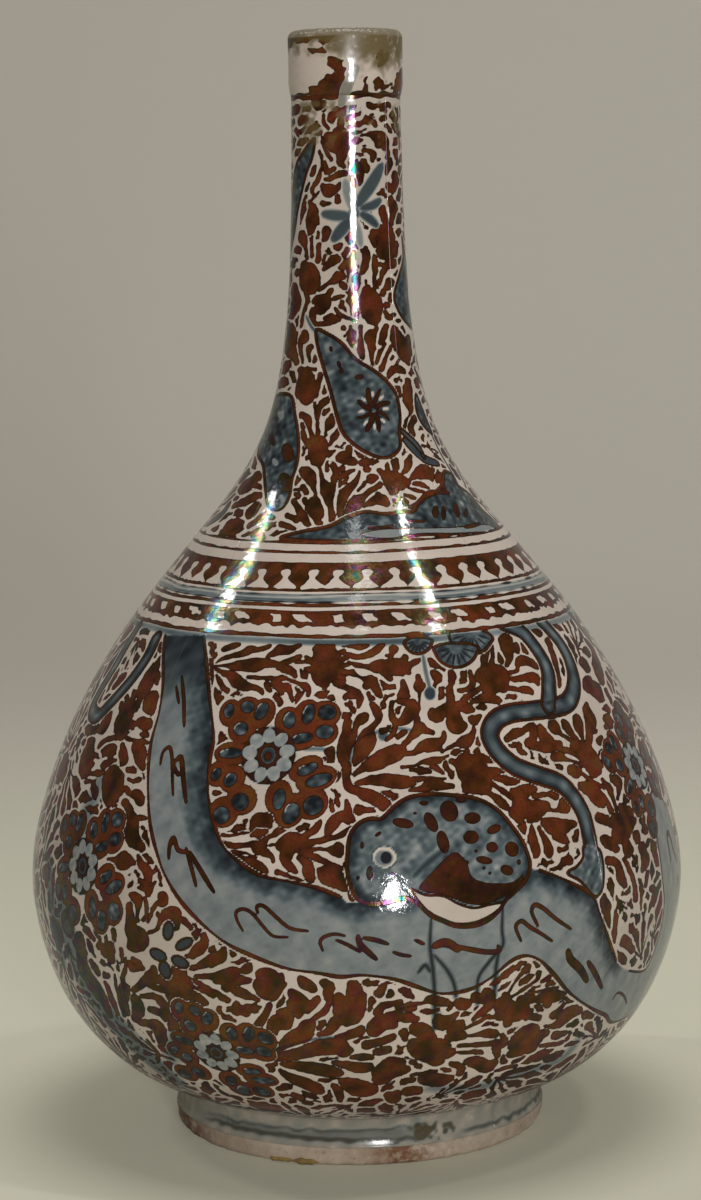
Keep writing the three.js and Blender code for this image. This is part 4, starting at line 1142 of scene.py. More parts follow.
def seen(curve):
    """How the camera sees short lengths round and up the surface, at a curve's middle."""
    t, s = curve.mean(axis=0)
    lean = float(r_of_s(s + 0.5) - r_of_s(s - 0.5))
    rise = math.sqrt(max(1 - lean * lean, 0.04))
    around = np.array([math.cos(t), math.sin(t), 0])
    upward = np.array([lean * math.sin(t), -lean * math.cos(t), rise])
    found = np.array([[around @ CAM_RIGHT, upward @ CAM_RIGHT], [around @ CAM_UP, upward @ CAM_UP]])
    for k in range(2):
        found[k, k] = max(found[k, k], 0.35)
    return found


def start_growth():
    for belt in BELTS:
        belt.f["near"] = np.minimum(FREE, -belt.f["occupied"])
        belt.field("far", FREE)
        belt.field("stem", -9.0)
        belt.field("tone")
        belt.f["owner"] = np.zeros(belt.f["near"].shape, np.int32)


def claim(p, g, owner):
    """Lets an owner bid for a patch; g is the distance outside its natural outline."""
    near, far, own = p.get("near"), p.get("far"), p.get("owner")
    closer = g < near
    p.put("far", np.where(own == owner, far, np.where(closer, near, np.minimum(far, g))))
    p.put("near", np.minimum(near, g))
    p.put("owner", np.where(closer, owner, own))


def free_at(points):
    """The distance to the nearest leaf at chart points."""
    p = np.atleast_2d(points)
    out = np.full(len(p), -9.0)
    for belt in BELTS:
        here = (p[:, 1] >= belt.s[0]) & (p[:, 1] <= belt.s[-1])
        if here.any():
            i = ((p[here, 1] - belt.s[0]) / (belt.s[1] - belt.s[0])).round().astype(int)
            j = ((p[here, 0] + math.pi) * belt.n / (2 * math.pi)).round().astype(int) % belt.n
            out[here] = belt.f["near"][np.clip(i, 0, len(belt.s) - 1), j]
    return out


def leaf_curve(place, heading, length, bend, count=8):
    """A curve on the chart from a place, that turns evenly as it goes."""
    step, pts = length / (count - 1), [tuple(place)]
    for k in range(count - 1):
        t, s = pts[-1]
        h = heading + bend * (k + 0.5) / (count - 1)
        s = s + step * math.sin(h)
        pts.append((t + step * math.cos(h) / max(float(r_of_s(s)), 5), s))
    return np.array(pts)


def grow(curve, radii, owner):
    for p in near_line(curve, radii, reach=3.0):
        claim(p, -p.d, owner)


def stem(curve, radius):
    for p in near_line(curve, radius, reach=0.8):
        p.lift("stem", p.d)


def room(curve, start, need):
    """How many of a curve's points can be kept before something stands in the way."""
    bad = np.where(free_at(curve)[start:] < need)[0]
    return start + int(bad[0]) if len(bad) else len(curve)


# How wide a leaf is along its length: places from 0 to 1 and widths.
LEAF_SHAPES = [
    [(0, .16), (.15, .22), (.4, 1.0), (.6, .6), (.8, .72), (1, .3)],
    [(0, .16), (.3, .3), (.65, 1.0), (.88, .8), (1, .4)],
    [(0, .16), (.2, .4), (.36, .8), (.5, .45), (.75, 1.0), (.9, .6), (1, .3)],
    [(0, .2), (.25, .9), (.5, 1.0), (.75, .5), (1, .35)],
]


def club(count, size):
    """Half widths of a leaf that is thin at its foot, with one or two swellings."""
    shape = np.array(LEAF_SHAPES[int(RNG.integers(len(LEAF_SHAPES)))])
    return size * np.interp(np.linspace(0, 1, count), shape[:, 0], shape[:, 1])


def by_height(s, low, high):
    """A value that goes from low at the shoulder to high on the neck."""
    return np.interp(s, [S_SHOULDER, S_NECK], [low, high])


def scale_at(s):
    return float(by_height(s, 1.0, FINE))


def fingers(curve, radii, k, owner, first=0.4):
    """Side lobes along the outer part of a leaf, pointing forward."""
    r = max(float(r_of_s(curve[0, 1])), 5)
    step = math.hypot((curve[1, 0] - curve[0, 0]) * r, curve[1, 1] - curve[0, 1])
    at, side = first * len(curve), 1 if RNG.random() < 0.5 else -1
    while at < len(curve) - 1.2:
        n = int(at)
        p, q = curve[n], curve[n + 1]
        way = math.atan2(q[1] - p[1], (q[0] - p[0]) * r) + side * RNG.uniform(0.6, 1.05)
        lobe = leaf_curve(p, way, radii[n] + RNG.uniform(0.8, 1.9) * k, -0.5 * side, 4)
        grow(lobe, k * np.array([0.4, 0.6, 0.85, 0.65]), owner)
        side = -side
        at += RNG.uniform(1.2, 1.9) * k / step


def open_heading(place, k):
    """The direction with most free ground in front of a place."""
    ways = np.linspace(0, 2 * math.pi, 16, endpoint=False) + RNG.uniform(0, 0.4)
    probes = [leaf_curve(place, way, 12 * k, 0, 7)[2:] for way in ways]
    score = np.array([np.minimum(free_at(probe), 2.5).sum() for probe in probes])
    wide = sum(np.roll(score, n) * c for n, c in ((-2, .6), (-1, 1), (0, 1), (1, 1), (2, .6)))
    return ways[int(np.argmax(wide + RNG.uniform(0, 1.5, len(ways))))]


def spray(place, owner):
    """A fan of leaves that spring from one foot. Returns the next owner."""
    k = scale_at(place[1])
    heading = open_heading(place, k)
    count, gap, length = int(RNG.integers(4, 8)), RNG.uniform(0.34, 0.46), RNG.uniform(11, 19) * k
    made = []
    for i in range(count):
        side = i - (count - 1) / 2
        way = heading + side * gap + RNG.normal(0, 0.05)
        reach = length * (1 - 0.06 * abs(side)) * RNG.uniform(0.7, 1.1)
        curve = leaf_curve(place, way, reach, RNG.uniform(-0.35, 0.35) - 0.12 * side, 11)
        keep = room(curve, 2, 0.4 * k)
        if keep >= 5:
            made.append(curve[:keep])
    if len(made) < 2:
        return owner
    for curve in made:
        lobed = RNG.random() < 0.5
        radii = club(len(curve), RNG.uniform(*((1.2, 1.8) if lobed else (1.9, 2.7))) * k)
        grow(curve, radii, owner)
        if lobed:
            fingers(curve, radii, k, owner)
        stem(curve[:max(3, len(curve) // 2)], RNG.uniform(0.3, 0.45) * k)
        owner += 1
    back = heading + math.pi + RNG.normal(0, 0.4)
    tail = leaf_curve(place, back, RNG.uniform(1.5, 4.5) * k, 0.3, 5)
    tail = tail[:max(2, room(tail, 1, 0.3))]
    stem(tail, 0.55 * k)
    grow(tail, 0.8 * k, owner)
    return owner + 1


def single(place, owner, longest, fat):
    """One leaf laid along the free ground round a place."""
    k = scale_at(place[1])
    most = 0
    for way in np.linspace(0, math.pi, 9)[:-1] + RNG.uniform(0, 0.3):
        bend = RNG.uniform(-0.4, 0.4)
        ahead = leaf_curve(place, way, longest * k * 0.6, bend, 8)
        behind = leaf_curve(place, way + math.pi, longest * k * 0.5, bend, 7)
        a, b = room(ahead, 1, 0.3 * k), room(behind, 1, 0.3 * k)
        if a + b > most:
            most, curve = a + b, np.vstack([behind[:b][::-1], ahead[1:a]])
    if len(curve) < 3:
        return
    t = np.linspace(0, 1, len(curve))
    body = np.interp(t, [0, 0.25, 0.65, 1], [0.3, 0.8, 1.0, 0.4])
    lumps, phase = RNG.uniform(1.2, 2.6), RNG.uniform(0, 6)
    lobed = len(curve) > 4 and RNG.random() < 0.6
    radii = (0.6 if lobed else 1) * fat * k * body
    radii = radii * (1 + 0.24 * np.sin(2 * math.pi * lumps * t + phase))
    grow(curve, radii, owner)
    if lobed:
        fingers(curve, radii, k * 0.9, owner, 0.15)


def blossom(place, owner, radius):
    """A solid flower with a saw-toothed rim, seen from above or from the side."""
    t0, s0 = place
    teeth, lean = int(RNG.integers(7, 12)), RNG.uniform(0, 2 * math.pi)
    sideways = RNG.random() < 0.5
    squeeze = RNG.uniform(0.8, 1.0)
    for p in near_line(np.array([(t0, s0), (t0, s0 + 0.01)]), radius):
        x, y = p.r * (p.t - t0), (p.s - s0) / squeeze
        angle = np.arctan2(y, x) - lean
        saw = np.abs(((angle * teeth / (2 * math.pi)) % 1) * 2 - 1)
        rim = 0.84 + 0.24 * saw + 0.06 * np.sin(3 * angle + lean) + 0.05 * np.sin(5 * angle + 2 * lean)
        if sideways:
            up = np.cos(angle)
            rim = (0.62 + 0.36 * up) * (1 + 0.22 * (saw - 0.5) * (up > -0.2)) * 1.15
        claim(p, np.hypot(x, y) - radius * rim, owner)


def somewhere(count):
    """Random places, even over the surface."""
    s = RNG.uniform(0, BELTS[2].s[-1], count * 3)
    keep = RNG.uniform(0, 91, count * 3) < r_of_s(s)
    s = s[keep][:count]
    return np.column_stack([RNG.uniform(-math.pi, math.pi, len(s)), s])


def drawn_foliage():
    """The leaves and stalks that were drawn one by one. Returns the next owner."""
    for number, row in enumerate(STROKES):
        p = np.cumsum(np.array(row, float).reshape(-1, 3), axis=0)
        p[:, 2] = row[2::3]
        p = p / 2
        if len(p) == 1:
            p = np.vstack([p, p + (0.2, 0.2, 0)])
        p = smooth(p, False, 4)
        line = on_surface(p[:, :2])
        half, view = p[:, 2] / 2 * mm_per_px(p[:, :2]), seen(line)
        swell = float(by_height(line[:, 1].mean(), -0.16, -0.05))
        swell += 0.3 * float(ramp(-line[:, 0].mean(), 0.7, 1.1))
        for curve, look in zip(both(line), (view, view * np.array([[-1, 1], [-1, 1]]))):
            for patch in near_line(curve, half, reach=3.0, view=look):
                claim(patch, -patch.d - swell, number + 1)
                patch.lift("stem", patch.d)
    return len(STROKES) + 1


def keep_for_small():
    """Leaves only small ground between the drawn strokes, so that few leaves grow there."""
    for zone in DRAWN_ZONES:
        for shape in two_sides(zone, per=3):
            for p in near_area(shape):
                k, now = by_height(p.s, 1.0, FINE), p.get("near")
                most = np.where(now > 2.2 * k, now, np.where(now > 1.15 * k, 1.09 * k, 0.84 * k))
                p.put("near", np.where(p.d > 0, np.minimum(now, most), now))


def grow_flowers(owner):
    """Blossoms on open ground, each with two sprays beside it."""
    for place in somewhere(5000):
        if free_at(place)[0] > 8.9:
            radius = RNG.uniform(3.8, 5.8) * scale_at(place[1])
            blossom(place, owner, radius)
            owner += 1
            for _ in range(2):
                way = RNG.uniform(0, 2 * math.pi)
                owner = spray(leaf_curve(place, way, radius * 1.25, 0, 3)[-1], owner)
    return owner


def grow_leaves(owner):
    """Sprays where there is room for them, then single leaves in what is left."""
    for need, tries in ((6, 2500), (3.6, 4000), (2.5, 7000)):
        for place in somewhere(tries):
            if free_at(place)[0] > need * scale_at(place[1]):
                owner = spray(place, owner)
    for need, tries, longest, fat in ((1.7, 20000, 10, 2.3), (1.3, 26000, 7, 1.9),
                                      (1.05, 32000, 5, 1.5), (0.85, 40000, 3.6, 1.2)):
        places = somewhere(tries)
        for place in places[free_at(places) > need * 0.8]:
            if free_at(place)[0] > need * scale_at(place[1]):
                single(place, owner, longest, fat)
                owner += 1
    return owner


def paint_foliage():
    start_growth()
    drawn = drawn_foliage()
    keep_for_small()
    tones = RNG.uniform(0, 1, grow_leaves(grow_flowers(drawn)) + 1)
    for belt in BELTS:
        p = belt.whole()
        s, t, near, occupied, owner = p.s, p.t, p.get("near"), p.get("occupied"), p.get("owner")
        gap = np.where(owner < drawn, 0.6, by_height(s, 0.9, 0.7))
        hand = 0.06 * tremble(s, t) + 0.08 * wobble(s, t)
        leaf = np.minimum(0.28 - near, (p.get("far") - near) / 2 - gap / 2) + hand
        leaf = np.minimum(leaf, -occupied - 0.48 + 0.25 * hand)
        thread = np.minimum(p.get("stem"), -occupied - 0.3) + 0.4 * hand
        p.lift("lustre", np.where(occupied > 0, NOTHING, np.maximum(leaf, thread)))
        blend = 0.5 + 0.3 * np.clip(wobble(s, t), -1, 1) + 0.2 * slow(s, t)
        p.put("tone", np.where((occupied > 0) | (owner < drawn), blend, tones[owner]))
        p.lift("tone", p.get("gold"))


paint_stream()
paint_branches()
paint_fans()
paint_bird()
paint_rosettes()
paint_shoulder_and_neck()
paint_washes_and_shade()
paint_bands()
paint_collar()
paint_ends()
paint_foliage()
paint_filler()


def srgb(r, g, b):
    """A colour given as 0 to 255 in sRGB, as the shader wants it."""
    linear = (((c / 255 + 0.055) / 1.055) ** 2.4 if c > 10 else c / 255 / 12.92 for c in (r, g, b))
    return (*linear, 1.0)


class Shader:
    """Builds one material's nodes."""

    def __init__(self, name):
        self.mat = bpy.data.materials.new(name)
        self.mat.use_nodes = True
        self.tree = self.mat.node_tree
        self.skin = self.tree.nodes["Principled BSDF"]

    def put(self, kind, **settings):
        node = self.tree.nodes.new(kind)
        for key, value in settings.items():
            setattr(node, key, value)
        return node

    def join(self, source, socket):
        if isinstance(source, (int, float, tuple)):
            socket.default_value = source
        else:
            self.tree.links.new(source, socket)

    def fed(self, node, out, **inputs):
        """Joins sources to a node's inputs by name and returns one of its outputs."""
        for key, source in inputs.items():
            self.join(source, node.inputs[key])
        return node.outputs[out]

    def value(self, name):
        return self.put("ShaderNodeAttribute", attribute_name=name).outputs["Fac"]

    def math(self, operation, a, b=0.0, clamp=False):
        node = self.put("ShaderNodeMath", operation=operation, use_clamp=clamp)
        self.join(a, node.inputs[0])
        self.join(b, node.inputs[1])
        return node.outputs[0]

    def add(self, a, b):
        return self.math("ADD", a, b)

    def times(self, a, b, clamp=False):
        return self.math("MULTIPLY", a, b, clamp)

    def fit(self, x, low, high, to_low=0.0, to_high=1.0, smooth=True):
        node = self.put("ShaderNodeMapRange", interpolation_type="SMOOTHSTEP" if smooth else "LINEAR")
        for socket, v in zip(node.inputs, (x, low, high, to_low, to_high)):
            self.join(v, socket)
        return node.outputs[0]

    def mix(self, amount, a, b):
        node = self.put("ShaderNodeMix", data_type="RGBA", blend_type="MIX")
        for key, source in (("Factor", amount), (6, a), (7, b)):
            self.join(source, node.inputs[key])
        return node.outputs[2]

    def noise(self, size, detail=2.0, rough=0.5):
        """Noise whose grains are about this many mm."""
        place = self.put("ShaderNodeTexCoord").outputs["Object"]
        return self.fed(self.put("ShaderNodeTexNoise"), "Fac", Vector=place, Scale=1000.0 / size,
                        Detail=detail, Roughness=rough)

    def colours(self, x, stops):
        node = self.put("ShaderNodeValToRGB")
        elements = node.color_ramp.elements
        while len(elements) < len(stops):
            elements.new(0.5)
        for element, (place, colour) in zip(elements, stops):
            element.position, element.color = place, srgb(*colour)
        return self.fed(node, "Color", Fac=x)

    def bump(self, *heights):
        """Bumps over each other, each a height and its depth in mm."""
        normal = None
        for height, depth in heights:
            node = self.put("ShaderNodeBump")
            if normal is not None:
                self.join(normal, node.inputs["Normal"])
            normal = self.fed(node, "Normal", Strength=1.0, Distance=depth * MM, Height=height)
        return normal

    def set(self, **inputs):
        for key, source in inputs.items():
            self.join(source, self.skin.inputs[key.replace("_", " ")])
        return self.mat


BLUES = [(0.0, (188, 177, 163)), (0.2, (150, 150, 143)), (0.34, (120, 126, 126)), (0.5, (82, 92, 94)),
         (0.7, (52, 60, 64)), (0.9, (32, 38, 41)), (1.0, (22, 26, 29))]
BROWNS = [(0.0, (36, 20, 6)), (0.3, (58, 31, 11)), (0.55, (80, 41, 17)), (0.8, (98, 46, 23)),
          (1.0, (98, 58, 24))]


def under_paint(m, blue, ink, grain):
    """Cream glaze, the blue wash in it and its dark lines."""
    ground = m.mix(m.fit(m.noise(22, 3), 0.35, 0.7), srgb(200, 186, 173), srgb(184, 171, 158))
    ground = m.mix(m.fit(grain, 0.55, 0.8, 0, 0.2), ground, srgb(156, 142, 127))
    wash = m.add(blue, m.fit(grain, 0.25, 0.75, -0.04, 0.04, False))
    tint = m.colours(m.times(wash, 0.8, clamp=True), BLUES)
    colour = m.mix(m.fit(blue, 0.02, 0.16), ground, tint)
    return m.mix(m.fit(ink, -0.16, 0.14), colour, srgb(32, 34, 36))


def lustre_brown(m, lustre, blue, tone, fine):
    """Brown lustre: a tone for each leaf, red patches, darker rims and darker over blue."""
    warm = m.add(m.times(tone, 0.55), m.fit(m.noise(5, 3), 0.3, 0.7, 0, 0.5, False))
    brown = m.colours(warm, BROWNS)
    brown = m.mix(m.fit(m.noise(15, 2), 0.52, 0.72, 0, 0.45), brown, srgb(114, 44, 24))
    brown = m.mix(m.fit(fine, 0.35, 0.75, 0, 0.35), brown, srgb(38, 20, 8))
    brown = m.mix(m.fit(lustre, 0.0, 0.45, 0.85, 0.0), brown, srgb(30, 13, 4))
    return m.mix(m.fit(blue, 0.1, 0.8, 0, 0.6), brown, srgb(26, 17, 10))


def glaze_paint():
    """Cream glaze with the blue wash under it and the lustre painted over it."""
    m = Shader("lustre_painted_glaze")
    lustre, blue, ink, tone, stain = (m.value(n) for n in ("lustre", "blue", "ink", "tone", "stain"))
    grain, fine = m.noise(2.6, 3), m.noise(0.7, 2)
    painted = m.fit(m.add(lustre, m.fit(fine, 0.2, 0.8, -0.05, 0.05, False)), -0.07, 0.07)
    colour = m.mix(painted, under_paint(m, blue, ink, grain), lustre_brown(m, lustre, blue, tone, fine))
    dirt = m.times(stain, m.fit(m.noise(3, 4, 0.65), 0.22, 0.46, 0, 1.0), clamp=True)
    colour = m.mix(dirt, colour, srgb(98, 83, 47))
    normal = m.bump((m.noise(9, 2), 0.07), (m.noise(1.8, 3), 0.04), (m.noise(0.6, 2), 0.012),
                    (m.fit(lustre, -0.15, 0.2), 0.01))
    rough = m.add(0.06, m.times(painted, 0.07))
    rough = m.add(rough, m.times(m.fit(m.noise(1.1, 3), 0.5, 0.8), 0.08))
    rough = m.add(rough, m.times(dirt, 0.35))
    film = m.times(m.fit(m.noise(3.2, 3), 0.25, 0.75, 340, 620, False), painted)
    return m.set(Base_Color=colour, Roughness=rough, Normal=normal, IOR=1.5, Thin_Film_Thickness=film,
                 Thin_Film_IOR=1.33, Specular_IOR_Level=0.42)


def bare_clay(name, pale, dark, stained=None):
    m = Shader(name)
    colour = m.mix(m.fit(m.noise(14, 4, 0.6), 0.35, 0.65), pale, dark)
    colour = m.mix(m.times(m.fit(m.noise(1.3, 3, 0.6), 0.58, 0.72), 0.5), colour, srgb(104, 74, 56))
    if stained is not None:
        colour = m.mix(m.times(m.value("stain"), m.fit(m.noise(3, 4, 0.7), 0.3, 0.6)), colour, stained)
    height = m.add(m.noise(0.8, 4, 0.7), m.times(m.noise(5, 3), 1.5))
    return m.set(Base_Color=colour, Roughness=m.fit(m.noise(4, 2), 0.3, 0.7, 0.78, 0.94),
                 Normal=m.bump((height, 0.12)))


def plain_glaze(name, pale, dark):
    m = Shader(name)
    colour = m.mix(m.fit(m.noise(12, 4, 0.6), 0.35, 0.65), pale, dark)
    colour = m.mix(m.fit(m.noise(1.5, 3), 0.6, 0.75, 0, 0.5), colour, srgb(110, 96, 76))
    return m.set(Base_Color=colour, Roughness=m.fit(m.noise(3, 3), 0.3, 0.7, 0.16, 0.34),
                 Normal=m.bump((m.noise(6, 3), 0.15)), IOR=1.5)


def mesh_object(name, verts, loops, starts, smooth_faces=None, uv=None):
    """A mesh from flat arrays: corners of all faces in a row, and where each face starts."""
    mesh = bpy.data.meshes.new(name)
    mesh.vertices.add(len(verts))
    mesh.vertices.foreach_set("co", (np.asarray(verts) * MM).astype(np.float32).ravel())
    mesh.loops.add(len(loops))
    mesh.loops.foreach_set("vertex_index", np.asarray(loops, np.int32))
    mesh.polygons.add(len(starts))
    mesh.polygons.foreach_set("loop_start", np.asarray(starts, np.int32))
    flags = np.ones(len(starts), bool) if smooth_faces is None else smooth_faces
    mesh.polygons.foreach_set("use_smooth", flags)
    if uv is not None:
        layer = mesh.uv_layers.new(name="OFBake")
        layer.uv.foreach_set("vector", np.asarray(uv, np.float32).ravel())
    mesh.update(calc_edges=True)
    mesh.validate()
    ob = bpy.data.objects.new(name, mesh)
    bpy.context.scene.collection.objects.link(ob)
    return ob


def paint_attributes(ob, values):
    for name, v in values.items():
        layer = ob.data.attributes.new(name, "FLOAT", "POINT")
        layer.data.foreach_set("value", np.asarray(v, np.float32))


def quads(grid, inward=False):
    """The faces between the rows and columns of a grid of point numbers."""
    corners = [grid[:-1, :-1], grid[:-1, 1:], grid[1:, 1:], grid[1:, :-1]]
    if inward:
        corners[1::2] = corners[3], corners[1]
    return np.stack(corners, axis=-1).reshape(-1, 4)


def grid_object(name, verts, grid):
    faces = quads(grid)
    return mesh_object(name, verts, faces.ravel(), np.arange(len(faces)) * 4)


swell, ripple = Wander(34, 10, 11), Wander(11, 12, 12)


def skin_point(s, t, deep=0.0):
    """A point of the outside; the throwing marks only ever go inward."""
    r, z = r_of_s(s), z_of_s(s)
    ahead, back = np.minimum(s + 0.4, PATH_S[-1]), np.maximum(s - 0.4, 0)
    dr, dz = r_of_s(ahead) - r_of_s(back), z_of_s(ahead) - z_of_s(back)
    size = np.hypot(dr, dz)
    rings = 0.5 + 0.5 * np.sin(s * 0.62 + 1.3 * np.sin(s * 0.11))
    calm = np.clip((s - 12) / 8, 0, 1)
    waves = 0.05 * (1.6 + np.clip(swell(s, t), -1.6, 1.6)) + 0.012 * (2 + np.clip(ripple(s, t), -2, 2))
    inward = deep + calm * (waves + 0.03 * rings)
    r, z = r - inward * dz / size, z + inward * dr / size
    z = np.broadcast_to(z, np.broadcast(r, t).shape)
    return np.stack([r * np.sin(t), -r * np.cos(t), z], axis=-1)


PAINT = ("lustre", "blue", "ink", "tone", "stain")
COLUMNS = 41  # of points across the inner side of a gore
EVERY = 9  # painted rows from one row of the inner side to the next
MARGIN, FULL = 0.004, 0.992  # where the baking chart starts, and its height


class Sheet:
    """Collects the faces of one mesh with their places on the baking chart."""

    def __init__(self):
        self.loops, self.counts, self.flags, self.uvs = [], [], [], []

    def add(self, faces, uv, smooth_faces=True):
        self.loops.append(faces.ravel())
        self.counts.append(np.full(len(faces), faces.shape[1]))
        self.flags.append(np.full(len(faces), smooth_faces))
        self.uvs.append(uv.reshape(-1, 2))

    def wall(self, face, u, v0, v1, turned_over):
        """A narrow many-cornered face: two inner corners, then the outer ones back from v1 to v0."""
        uv = np.array([(u, v0), (u, v1)] + [(u + 0.006, v) for v in np.linspace(v1, v0, len(face) - 2)])
        way = -1 if turned_over else 1
        self.add(np.array(face)[None, ::way], uv[::way], False)

    def make(self, name, verts):
        starts = np.concatenate([[0], np.cumsum(np.concatenate(self.counts))[:-1]])
        return mesh_object(name, verts, np.concatenate(self.loops), starts,
                           np.concatenate(self.flags), np.vstack(self.uvs))


def outer_side(quarter):
    """The painted side of a gore, a belt at a time: points, paint, point numbers, and where each
    point lies across and up."""
    verts, paint, grids, where = [], [], [], []
    total = 0
    for k, belt in enumerate(BELTS[:3]):
        width = belt.n // 4
        j = quarter * width + belt.n // 2 - width // 2 + np.arange(width + 1)
        rows = slice(1 if k else 0, None)
        s = belt.s[rows][:, None]
        verts.append(skin_point(s, belt.angle(j)[None, :]).reshape(-1, 3))
        paint.append([belt.f[n][rows][:, j % belt.n].ravel() for n in PAINT])
        grids.append(total + np.arange(s.size * j.size).reshape(s.size, j.size))
        total += grids[-1].size
        across = np.broadcast_to(np.linspace(0, 1, width + 1)[None, :], grids[-1].shape)
        where.append(np.stack([across, np.broadcast_to(s, across.shape)], axis=-1).reshape(-1, 2))
    return verts, paint, grids, np.vstack(where)


def outer_faces(sheet, grids, where):
    """The faces of the belts, and those that join a belt to the next, with half as many columns."""
    def chart(faces, low):
        across, up = where[faces][..., 0], where[faces][..., 1]
        if low:
            return np.stack([0.002 + 0.596 * across, MARGIN + FULL * up / S_SHOULDER], axis=-1)
        up = MARGIN + FULL * (up - S_SHOULDER) / (S_TOP - S_SHOULDER)
        return np.stack([0.612 + 0.26 * across, up], axis=-1)

    for k, grid in enumerate(grids):
        faces = quads(grid)
        sheet.add(faces, chart(faces, k == 0))
        if k < 2:
            a, b = grid[-1], grids[k + 1][0]
            first, middle, last = a[:-1:2], a[1::2], a[2::2]
            for corners in ((first, middle, b[:-1]), (middle, last, b[1:]), (middle, b[1:], b[:-1])):
                faces = np.stack(corners, axis=-1)
                sheet.add(faces, chart(faces, False))


def gore_rims(sheet, grids, grid, picks, span):
    """The narrow faces that close a gore: its two long edges, its foot and its top."""
    left, right = (np.concatenate([g[:, c] for g in grids]) for c in (0, -1))
    for a, b, g0, g1 in zip(picks[:-1], picks[1:], grid[:-1], grid[1:]):
        v0, v1 = MARGIN + 0.99 * a / span, MARGIN + 0.99 * b / span
        sheet.wall([g0[0], g1[0], *left[a:b + 1][::-1]], 0.970, v0, v1, True)
        sheet.wall([g0[-1], g1[-1], *right[a:b + 1][::-1]], 0.979, v0, v1, False)
    for k, v, over in ((0, MARGIN, False), (-1, 0.51, True)):
        painted, row = grids[k][k], grid[k]
        n = (len(painted) - 1) // (COLUMNS - 1)
        for c in range(COLUMNS - 1):
            v0, v1 = v + 0.48 * c / COLUMNS, v + 0.48 * (c + 1) / COLUMNS
            sheet.wall([row[c], row[c + 1], *painted[c * n:(c + 1) * n + 1][::-1]], 0.988, v0, v1, over)


def gore(name, quarter):
    """A quarter of the glaze coat, a closed sheet from the foot to the collar."""
    verts, paint, grids, where = outer_side(quarter)
    sheet = Sheet()
    outer_faces(sheet, grids, where)
    line_s = np.concatenate([BELTS[0].s, BELTS[1].s[1:], BELTS[2].s[1:]])
    picks = np.unique(np.concatenate([np.arange(0, len(line_s), EVERY), [len(line_s) - 1]]))
    t = (quarter * math.pi / 2 + np.linspace(-math.pi / 4, math.pi / 4, COLUMNS))[None, :]
    inner = skin_point(line_s[picks][:, None], t, COAT).reshape(-1, 3)
    bare = [np.full(len(inner), -9.0 if n in ("lustre", "ink") else 0.0) for n in PAINT]
    grid = np.arange(len(inner)).reshape(len(picks), COLUMNS)
    faces = quads(grid, inward=True)
    across, up = faces % COLUMNS / (COLUMNS - 1), faces // COLUMNS / (len(picks) - 1)
    total = len(where)
    sheet.add(faces + total, np.stack([0.885 + 0.08 * across, MARGIN + FULL * up], axis=-1), False)
    gore_rims(sheet, grids, grid + total, picks, len(line_s) - 1)
    ob = sheet.make(name, np.vstack(verts + [inner]))
    columns = zip(*paint, bare)
    paint_attributes(ob, {n: np.concatenate(column) for n, column in zip(PAINT, columns)})
    return ob


def lathe(name, path, columns, wear):
    """A ring turned from a closed path of radius and height, in mm, and worn by a function."""
    path = np.array(path, float)
    t = np.arange(columns) * 2 * math.pi / columns - math.pi
    r, z = wear(*(np.repeat(path[:, k:k + 1], columns, axis=1) for k in (0, 1)), t[None, :])
    verts = np.stack([r * np.sin(t), -r * np.cos(t), z], axis=-1).reshape(-1, 3)
    grid = np.arange(len(path) * columns).reshape(len(path), columns)
    grid = np.vstack([grid, grid[:1]])
    ob = grid_object(name, verts, np.hstack([grid, grid[:, :1]]))
    return ob, r, z, np.broadcast_to(t[None, :], r.shape)


def polyline(points, counts):
    """Straight runs from point to point, each cut into so many steps; the last point is left out."""
    out = []
    for (r0, z0), (r1, z1), count in zip(points, points[1:], counts):
        out += [(r0 + (r1 - r0) * k / count, z0 + (z1 - z0) * k / count) for k in range(count)]
    return out


def rounded(start, radius, angles):
    """A round that starts level at the height 0 and turns up."""
    return [(start + radius * math.sin(a), radius - radius * math.cos(a)) for a in angles]


LIP = 2.18  # radius of the round between the collar and the rim, and between the rim and the bore
LIP_HEIGHT, RIM_OUTER, RIM_INNER = 297.8, 13.3, 11.44


def mouth_path():
    """The outer and upper side of the mouth's coat, from the collar's line over the rim and down."""
    out = polyline([(14.93, 282.52), (15.15, 283.5), (15.48, 285.5), (15.48, LIP_HEIGHT)], (3, 4, 26))
    out += [(RIM_OUTER + LIP * math.cos(a), LIP_HEIGHT + LIP * math.sin(a))
            for a in np.radians(np.linspace(0, 90, 9))][:-1]
    out += polyline([(RIM_OUTER, 299.98), (RIM_INNER, 299.98)], (4,))
    out += [(RIM_INNER - LIP * math.sin(a), LIP_HEIGHT + LIP * math.cos(a))
            for a in np.radians(np.linspace(0, 90, 8))][:-1]
    out += polyline([(9.26, LIP_HEIGHT), (9.31, 282.5), (9.74, 253.8)], (6, 6)) + [(9.74, 253.8)]
    return np.array(out)


